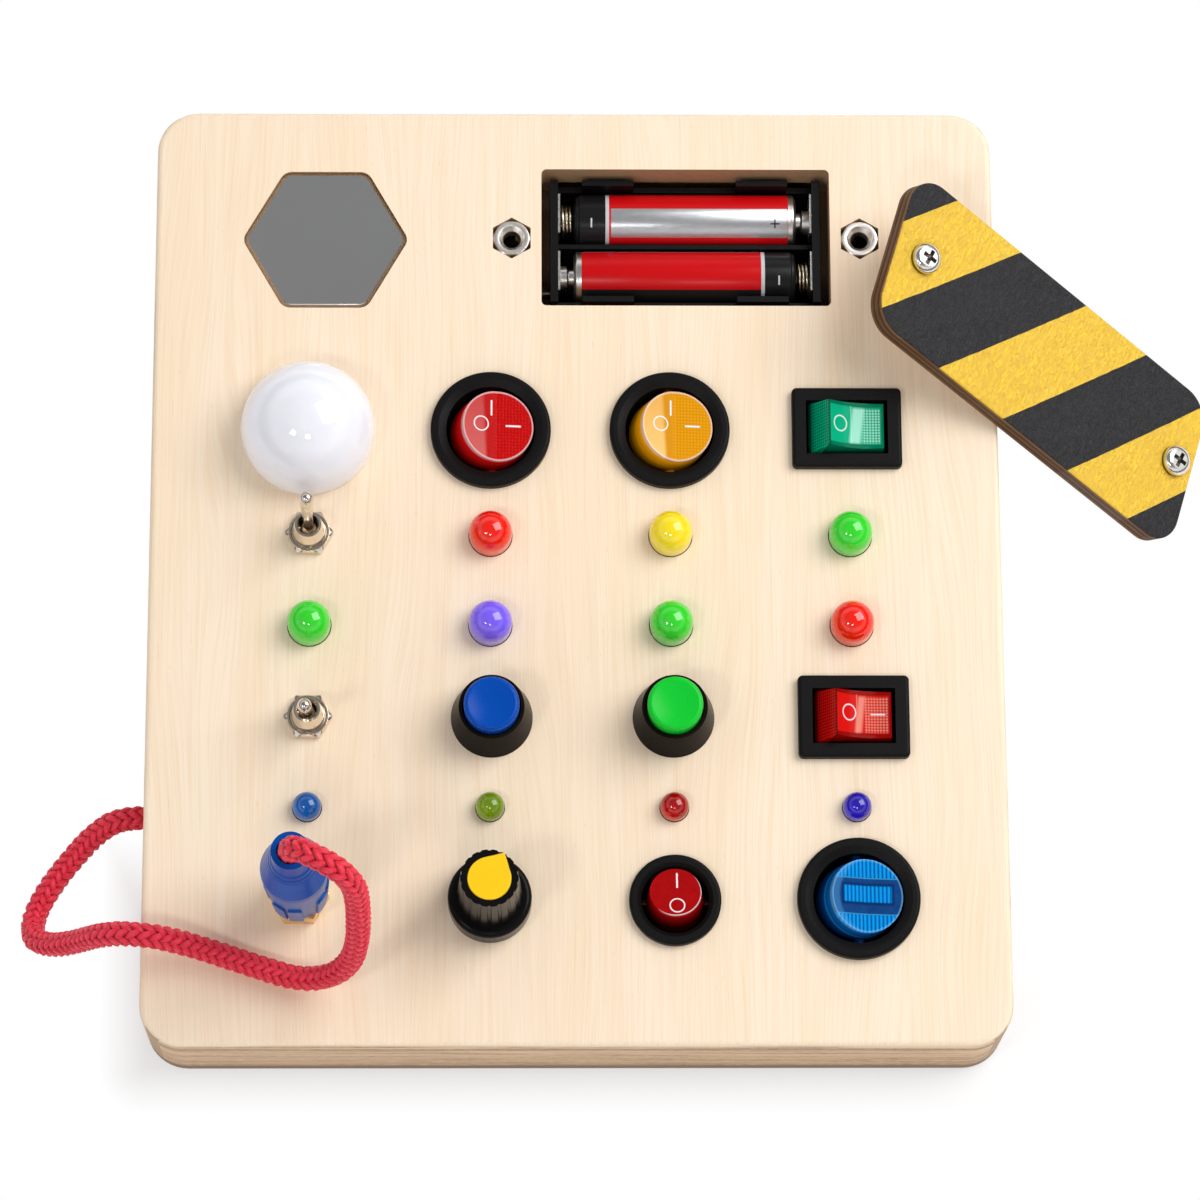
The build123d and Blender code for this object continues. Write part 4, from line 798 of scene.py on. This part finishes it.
def cover_paint():
    """Yellow and black slanted bands on the face, and scorched ply layers round the edge."""
    finish = Finish("cover_bands", (0.95, 0.62, 0.06), 0.5, Specular_IOR_Level=0.2)
    at = finish.place(COVER, cover_frame())
    x, y, z = finish.split(at)
    slant = finish.math("SUBTRACT", 0.706, finish.times(x, 0.00075))
    along = finish.math("SUBTRACT", x, finish.times(y, slant))
    wobble = finish.noise(at, 0.35, 2)
    along = finish.math("ADD", along, finish.times(finish.math("SUBTRACT", wobble, 0.5), 0.3))
    black = either(
        finish, finish.math("LESS_THAN", along, -43.5), finish.between(along, -26.4, -8.5, 0.05),
        finish.between(along, 8.15, 25.3, 0.05), finish.math("GREATER_THAN", along, 41.5))
    grain = finish.node("Mapping", {"Vector": at, "Rotation": (0, 0, 0.5), "Scale": (1.4, 0.45, 1)})
    inputs = {"Vector": grain.outputs[0], "Scale": 1.2, "Detail": 3.0, "Roughness": 0.6, "Distortion": 1.4}
    hairs = finish.node("TexNoise", inputs).outputs["Fac"]
    thin = either(finish, *[finish.between(hairs, low, low + 0.015, 0.012) for low in HAIR_LINES])
    patch = finish.noise(at, 0.12, 2)
    yellow = finish.mix(patch, (0.97, 0.57, 0.03), (1.0, 0.63, 0.045))
    yellow = finish.mix(finish.times(thin, 0.7), yellow, (1.0, 0.78, 0.25))
    dark = finish.mix(patch, (0.013, 0.0125, 0.0135), (0.022, 0.021, 0.023))
    dark = finish.mix(finish.times(thin, 0.6), dark, (0.17, 0.17, 0.18))
    face = finish.mix(black, yellow, dark)
    run = finish.noise(finish.stretched(at, (0.12, 0.12, 2.2)), 1.0, 4)
    layers = finish.ramp(
        finish.span(z, -4.0, 0.0),
        (0.0, (0.3, 0.15, 0.06)), (0.2, (0.24, 0.115, 0.05)), (0.24, (0.06, 0.025, 0.012)),
        (0.36, (0.07, 0.03, 0.014)), (0.4, (0.28, 0.14, 0.06)), (0.6, (0.22, 0.11, 0.05)),
        (0.64, (0.06, 0.025, 0.012)), (0.74, (0.08, 0.035, 0.015)), (0.8, (0.3, 0.15, 0.06)),
        (1.0, (0.4, 0.2, 0.07)))
    edge = finish.mix(finish.ramp(run, (0.4, 0.0), (0.65, 0.6)), layers, (0.12, 0.055, 0.025))
    under = finish.mix(hairs, (0.62, 0.42, 0.25), (0.78, 0.58, 0.38))
    up = finish.span(z, -0.3, -0.12)
    down = finish.span(z, -3.9, -3.98)
    color = finish.mix(up, edge, face)
    finish.set("Base Color", finish.mix(down, color, under))
    finish.set("Roughness", finish.mix(black, (0.42, 0.42, 0.42), (0.56, 0.56, 0.56)))
    finish.bump(hairs, 0.16)
    finish.bump(thin, 0.06)
    return finish


# ---------------------------------------------------------------- lamps
def lens_color(name, color, deep):
    """A tinted lamp lens: deeper at its foot, with painted light on its side turned to the near left, and a
    thin line of painted shade where it meets its hole.
    """
    finish = Finish(name, color, 0.04, Coat_Weight=0.6, Coat_Roughness=0.02)
    z = finish.split(finish.place())[2]
    haze = finish.noise(finish.place(), 0.6, 2)
    body = finish.mix(finish.times(haze, 0.1), color, scaled(color, 0.9))
    # Painted light: the side turned to the near left is lighter.
    body = finish.mix(finish.times(finish.facing((-0.5, -0.62, 0.0), 0.1, 0.75), 0.5), body,
                      tuple(c ** 0.7 for c in color))
    foot = finish.span(z, TOP + 2.6, TOP + 0.4)
    body = finish.mix(finish.times(foot, 0.35), body, deep)
    # Painted shade: a thin dark line where the lens meets its hole.
    line = finish.span(z, TOP + 0.3, TOP + 0.2)
    finish.set("Base Color", finish.mix(line, body, scaled(color, 0.1)))
    finish.bump(haze, 0.01)
    return finish


def tinted_clear(name, color, deep):
    """A small clear lens tinted through, darker towards its foot, with painted light on its side turned to
    the near left.
    """
    finish = Finish(name, color, 0.04, Coat_Weight=0.4, Coat_Roughness=0.02)
    z = finish.split(finish.place())[2]
    haze = finish.noise(finish.place(), 1.2, 2)
    # Painted light: the side turned to the near left is lighter.
    color = finish.mix(finish.facing((-0.5, -0.5, 0.15), 0.2, 0.8), color, scaled(color, 1.9))
    foot = finish.span(z, TOP + 1.0, TOP + 0.1, 0.0, 0.7)
    finish.set("Base Color", finish.mix(finish.math("MAXIMUM", foot, finish.times(haze, 0.2)), color,
                                        deep))
    return finish


def opal():
    finish = Finish("lamp_opal", (0.84, 0.84, 0.96), 0.05, Coat_Weight=0.4, Coat_Roughness=0.03,
                    Subsurface_Weight=0.5, Subsurface_Radius=(0.01, 0.01, 0.012))
    haze = finish.noise(finish.place(), 0.08, 2)
    finish.set("Base Color", finish.mix(haze, (0.87, 0.87, 0.97), (0.9, 0.9, 0.99)))
    finish.bump(haze, 0.02)
    return finish


def silvering():
    """The mirror: silvered, with a faint haze and fine scratches."""
    finish = Finish("mirror_silver", (0.9, 0.9, 0.91), 0.03, Metallic=1.0)
    haze = finish.noise(finish.place(stretch=(0.05, 0.05, 1)), 1.0, 3)
    lines = finish.noise(finish.place(turn=about("Z", 52), stretch=(0.05, 2.2, 1)), 1.0, 5, 0.7)
    scratches = finish.ramp(lines, (0.6, 0.0), (0.66, 0.35))
    silver = finish.mix(haze, (0.82, 0.82, 0.83), (0.88, 0.89, 0.9))
    finish.set("Base Color", finish.mix(scratches, silver, (0.98, 0.98, 1.0)))
    finish.set("Roughness", finish.span(haze, 0.3, 0.7, 0.015, 0.04))
    return finish


def plug_plastic():
    """Soft blue plastic with fine turned steps below the collar."""
    finish = Finish("plug_blue", (0.001, 0.08, 0.35), 0.3, Specular_IOR_Level=0.15)
    z = finish.split(finish.place((*SOCKET, PLUG_FOOT)))[2]
    cloudy = finish.noise(finish.place(), 0.5, 3)
    lower = finish.span(z, 18.7, 18.3)
    color = finish.mix(cloudy, (0.0, 0.062, 0.34), (0.0, 0.078, 0.4))
    finish.set("Base Color", finish.mix(finish.times(lower, 0.5), color, (0.04, 0.14, 0.42)))
    steps = finish.math("SINE", finish.times(z, tau / 1.5))
    finish.bump(finish.times(steps, finish.between(z, 26.6, 30.2, 0.2)), 0.12)
    finish.bump(finish.noise(finish.place(), 3.0, 3), 0.01)
    return finish


def knurled(name, color, rough, base=-50, mouths=()):
    """Plated metal with fine thread rings just above a height, with painted shade in the rings' grooves and
    black painted shade inside its mouths.
    """
    finish = Finish(name, color, rough, Metallic=1.0)
    z = finish.split(finish.place())[2]
    spots = finish.noise(finish.place(), 0.9, 3)
    rings = finish.math("SINE", finish.times(z, tau / 0.5))
    on = finish.between(z, base, base + 1.3, 0.05)
    # Painted shade: the thread grooves darken.
    dark = finish.times(finish.math("GREATER_THAN", rings, 0.5), on)
    dull = scaled(color, 0.8)
    plain = finish.mix(finish.times(spots, 0.6), color, dull)
    # Painted shade: black inside each toggle's mouth, round the lever's foot.
    for mouth in mouths:
        x, y = finish.split(finish.place((*mouth, TOP)))[:2]
        dark = finish.math("MAXIMUM", dark,
                           finish.math("LESS_THAN", distance(finish, x, y), TOGGLE_MOUTH))
    finish.set("Base Color", finish.mix(finish.times(dark, 0.9), plain, PAINTED_SHADE_BLACK))
    finish.bump(finish.times(rings, on), 0.08)
    return finish


def hardboard():
    """The back sheet: brown pressed board with fine flecks."""
    finish = Finish("back_sheet", (0.25, 0.14, 0.07), 0.6)
    at = finish.place()
    fleck = finish.noise(at, 1.8, 4, 0.7)
    broad = finish.noise(at, 0.06, 3)
    color = finish.mix(fleck, (0.2, 0.11, 0.055), (0.33, 0.2, 0.11))
    finish.set("Base Color", finish.mix(finish.times(broad, 0.5), color, (0.18, 0.095, 0.045)))
    finish.bump(fleck, 0.04)
    return finish


def dress_all(rope_finish):
    dress(moulded("housing_black", (0.0065, 0.006, 0.006), 0.42, 0.03, gloss=0.1),
          *[name for name in nodes if name.endswith("_housing")])
    dress(moulded("bezel_black", (0.009, 0.007, 0.0055), 0.25, 0.01, gloss=0.02), "push_housings")
    dress(moulded("knob_black", (0.006, 0.0055, 0.0055), 0.2, 0.01, gloss=0.08), "knob_body")
    dress(moulded("knob_yellow", (0.98, 0.62, 0.012), 0.3, 0.01), "knob_cap")
    dress(moulded("holder_black", (0.005, 0.005, 0.0055), 0.38, 0.02), "battery_holder")
    dress(moulded("cap_blue", (0.0, 0.067, 0.42), 0.25, 0.01, 0.03), "push_blue_cap")
    dress(moulded("cap_green", (0.006, 0.58, 0.035), 0.25, 0.01, 0.03), "push_green_cap")
    dress(opal(), "bulb_globe")
    dress(moulded("lamp_base_white", (0.7, 0.7, 0.72), 0.4), "bulb_base")
    dress(lens_color("lamp_led_clear", (0.8, 0.8, 0.75), (0.5, 0.5, 0.45)), "bulb_led")
    dress(silvering(), "mirror_hexagon")
    dress(hardboard(), "back_panel")
    dress(turned_metal("screw_steel", (0.62, 0.6, 0.57), 0.3), "back_screws", "battery_contacts")
    dress(turned_metal("spring_plate", (0.75, 0.66, 0.5), 0.22), "battery_springs", "push_blue_spring",
          "push_green_spring")
    for end, along in COVER_SCREWS.items():
        dress(cross_head(f"screw_{end}_steel", along), "cover_screw_" + end)
    dress(turned_metal("pot_steel", (0.6, 0.6, 0.6), 0.35), "pot_body", "pot_nut", "pot_shaft",
          "push_nuts")
    dress(turned_metal("tinned_wire", (0.72, 0.72, 0.7), 0.3), "led_leads", "bus_wires",
          "switch_terminals")
    dress(turned_metal("socket_brass", (0.83, 0.58, 0.24), 0.2), "socket", "socket_nut", "plug_pin")
    dress(knurled("toggle_nickel", (0.82, 0.73, 0.62), 0.16, TOP + 2.0, TOGGLES), "toggle_cases")
    dress(turned_metal("lever_nickel", (0.78, 0.7, 0.61), 0.1), "toggle_upper_lever",
          "toggle_lower_lever")
    dress(cover_paint(), "cover_plate")
    dress(plug_plastic(), "plug_sleeve")
    dress(rope_finish, "rope_knot")
    for name, color, deep in (
            ("leds_red", (0.9, 0.008, 0.0), (0.6, 0.0, 0.0)),
            ("led_yellow", (0.99, 0.76, 0.01), (0.8, 0.5, 0.0)),
            ("leds_green", (0.03, 0.68, 0.02), (0.0, 0.42, 0.0)),
            ("led_purple", (0.2, 0.11, 0.92), (0.1, 0.05, 0.6))):
        dress(lens_color("lens_" + name, color, deep), name)
    for name, color in (
            ("led_small_blue", (0.004, 0.1, 0.38)),
            ("led_small_lime", (0.16, 0.27, 0.002)),
            ("led_small_red", (0.38, 0.002, 0.002)),
            ("led_small_violet", (0.018, 0.006, 0.4))):
        dress(tinted_clear("lens_" + name, color, scaled(color, 0.2)), name)
    dress(round_lens("lens_red", (COLUMNS[1], ROWS[0]), (0.6, 0.005, 0.005), (0.62, 0.14, 0.13)),
          "rocker_red_paddle")
    dress(round_lens("lens_amber", (COLUMNS[2], ROWS[0]), (0.83, 0.34, 0.003), (0.95, 0.62, 0.22)),
          "rocker_amber_paddle")
    dress(ribbed_lens("lens_blue", (COLUMNS[3] + 0.3, ROWS[5] + 0.5)), "rocker_blue_paddle")
    dress(square_lens("lens_green", (COLUMNS[3] - 0.3, ROWS[0] + 0.4), (0.002, 0.4, 0.2),
                      (0.001, 0.06, 0.03), (0.45, 0.86, 0.72), (-3.0, 0.1), None, (1.4, 4.8),
                      (-0.7, 1.5)), "square_green_paddle")
    dress(square_lens("lens_square_red", (COLUMNS[3], ROWS[3]), (0.62, 0.006, 0.004),
                      (0.08, 0.002, 0.002), (0.8, 0.3, 0.22), (-2.6, 0.2), (1.7, 4.4, -0.08, 0.22),
                      (0.6, 4.9), (-1.0, 0.3)), "square_red_paddle")
    dress(small_lens(), "rocker_small_paddle")
    make_cell("cell_upper", 1, (-55, 9), (70, 130))
    make_cell("cell_lower", -1, (60, 125), (-120, -43))
    make_inserts(knurled("insert_nickel", (0.95, 0.9, 0.85), 0.3))
    make_toggle_nuts(knurled("toggle_nut_nickel", (0.8, 0.71, 0.6), 0.2))


# ---------------------------------------------------------------- light and ground
def make_world():
    """Soft grey surroundings; gloss sees them banded and patchy, and the camera sees plain white."""
    world = bpy.data.worlds.new("studio")
    bpy.context.scene.world = world
    world.use_nodes = True
    sky = Pattern(world.node_tree)
    direction = sky.node("TexCoord", {}).outputs["Generated"]
    height = sky.split(direction)[2]
    around = sky.ramp(height, *((place, (grey, grey, grey * 1.01)) for place, grey in (
        (0.0, 0.95), (0.35, 0.78), (0.7, 0.33), (1.0, 0.21))))
    bands = sky.ramp(height, (0.0, 0.08), (0.22, 0.1), (0.42, 0.95), (0.6, 0.85), (0.72, 0.3),
                     (1.0, 0.21))
    patches = sky.span(sky.noise(direction, 1.7, 1.0), 0.44, 0.56, 0.75, 1.15)
    overhead = sky.span(height, 0.8, 0.92)
    strength = sky.node("Mix", {"Factor": overhead, "A": patches, "B": 1.05}).outputs[0]
    reflected = sky.node("Background", {"Color": bands, "Strength": strength}).outputs[0]
    white = sky.node("Background", {"Color": (1, 1, 1)}).outputs[0]
    plain = sky.tree.nodes["Background"]
    sky.tree.links.new(around, plain.inputs["Color"])
    path = sky.node("LightPath", {}).outputs
    lit = sky.over(path["Is Glossy Ray"], plain.outputs[0], reflected)
    shown = sky.over(path["Is Camera Ray"], lit, white)
    sky.tree.links.new(shown, sky.tree.nodes["World Output"].inputs["Surface"])


def softbox(name, toward, size, power):
    """A square area lamp a metre away in a direction, facing the board."""
    lamp = bpy.data.lights.new(name, "AREA")
    lamp.size = size
    lamp.energy = power
    holder = bpy.data.objects.new(name, lamp)
    where = Vector(toward).normalized()
    holder.matrix_world = Matrix.Translation(where) @ where.to_track_quat("Z", "Y").to_matrix().to_4x4()
    bpy.context.scene.collection.objects.link(holder)


def set_light():
    make_world()
    softbox("key_softbox", (0.567, 0.274, 0.775), 0.68, 7.0)
    softbox("left_lamp", (-0.42, -0.36, 0.83), 0.13, 1.1)
    softbox("near_lamp", (-0.02, -0.5, 0.86), 0.12, 0.75)


def make_floor():
    """White paper: it holds the board's shadow in a narrow band at its near side and glows white beyond."""
    form = bmesh.new()
    bmesh.ops.create_grid(form, x_segments=1, y_segments=1, size=3)
    mesh = bpy.data.meshes.new("floor")
    form.to_mesh(mesh)
    form.free()
    floor = bpy.data.objects.new("floor", mesh)
    floor.location.z = -0.0005
    finish = Finish("floor_white", (0.97, 0.97, 0.97), 0.9)
    paper = finish.noise(finish.place(), 0.2, 2)
    finish.set("Base Color", finish.mix(paper, (0.965, 0.965, 0.965), (0.985, 0.985, 0.985)))
    path = finish.node("LightPath", {}).outputs
    seen = finish.math("MAXIMUM", path["Is Camera Ray"],
                       finish.math("MAXIMUM", path["Is Glossy Ray"], path["Is Transmission Ray"]))
    plain = finish.node("Emission", {"Color": (1, 1, 1), "Strength": 1.0}).outputs[0]
    x, y = finish.split(finish.place())[:2]
    beyond = [finish.math("MAXIMUM", finish.math("SUBTRACT", finish.math("ABSOLUTE", at), half), 0)
              for at, half in zip((x, y), OUTLINE)]
    fading = finish.span(distance(finish, *beyond), 0.0, 9.0, 0.5)
    far_side = finish.span(finish.math("SUBTRACT", y, finish.times(x, -0.15)), -95.0, -60.0)
    share = finish.math("MAXIMUM", fading, far_side)
    shown = finish.over(finish.times(seen, share), finish.shader.outputs[0], plain)
    finish.tree.links.new(shown, finish.tree.nodes["Material Output"].inputs["Surface"])
    mesh.materials.append(finish.material)
    bpy.context.scene.collection.objects.link(floor)


set_camera()
rope_finish = rope_crimson()
make_rope(rope_finish)
set_light()
make_floor()
bpy.context.scene.view_settings.view_transform = "Standard"
dress(ply(), "carcass")
dress_all(rope_finish)
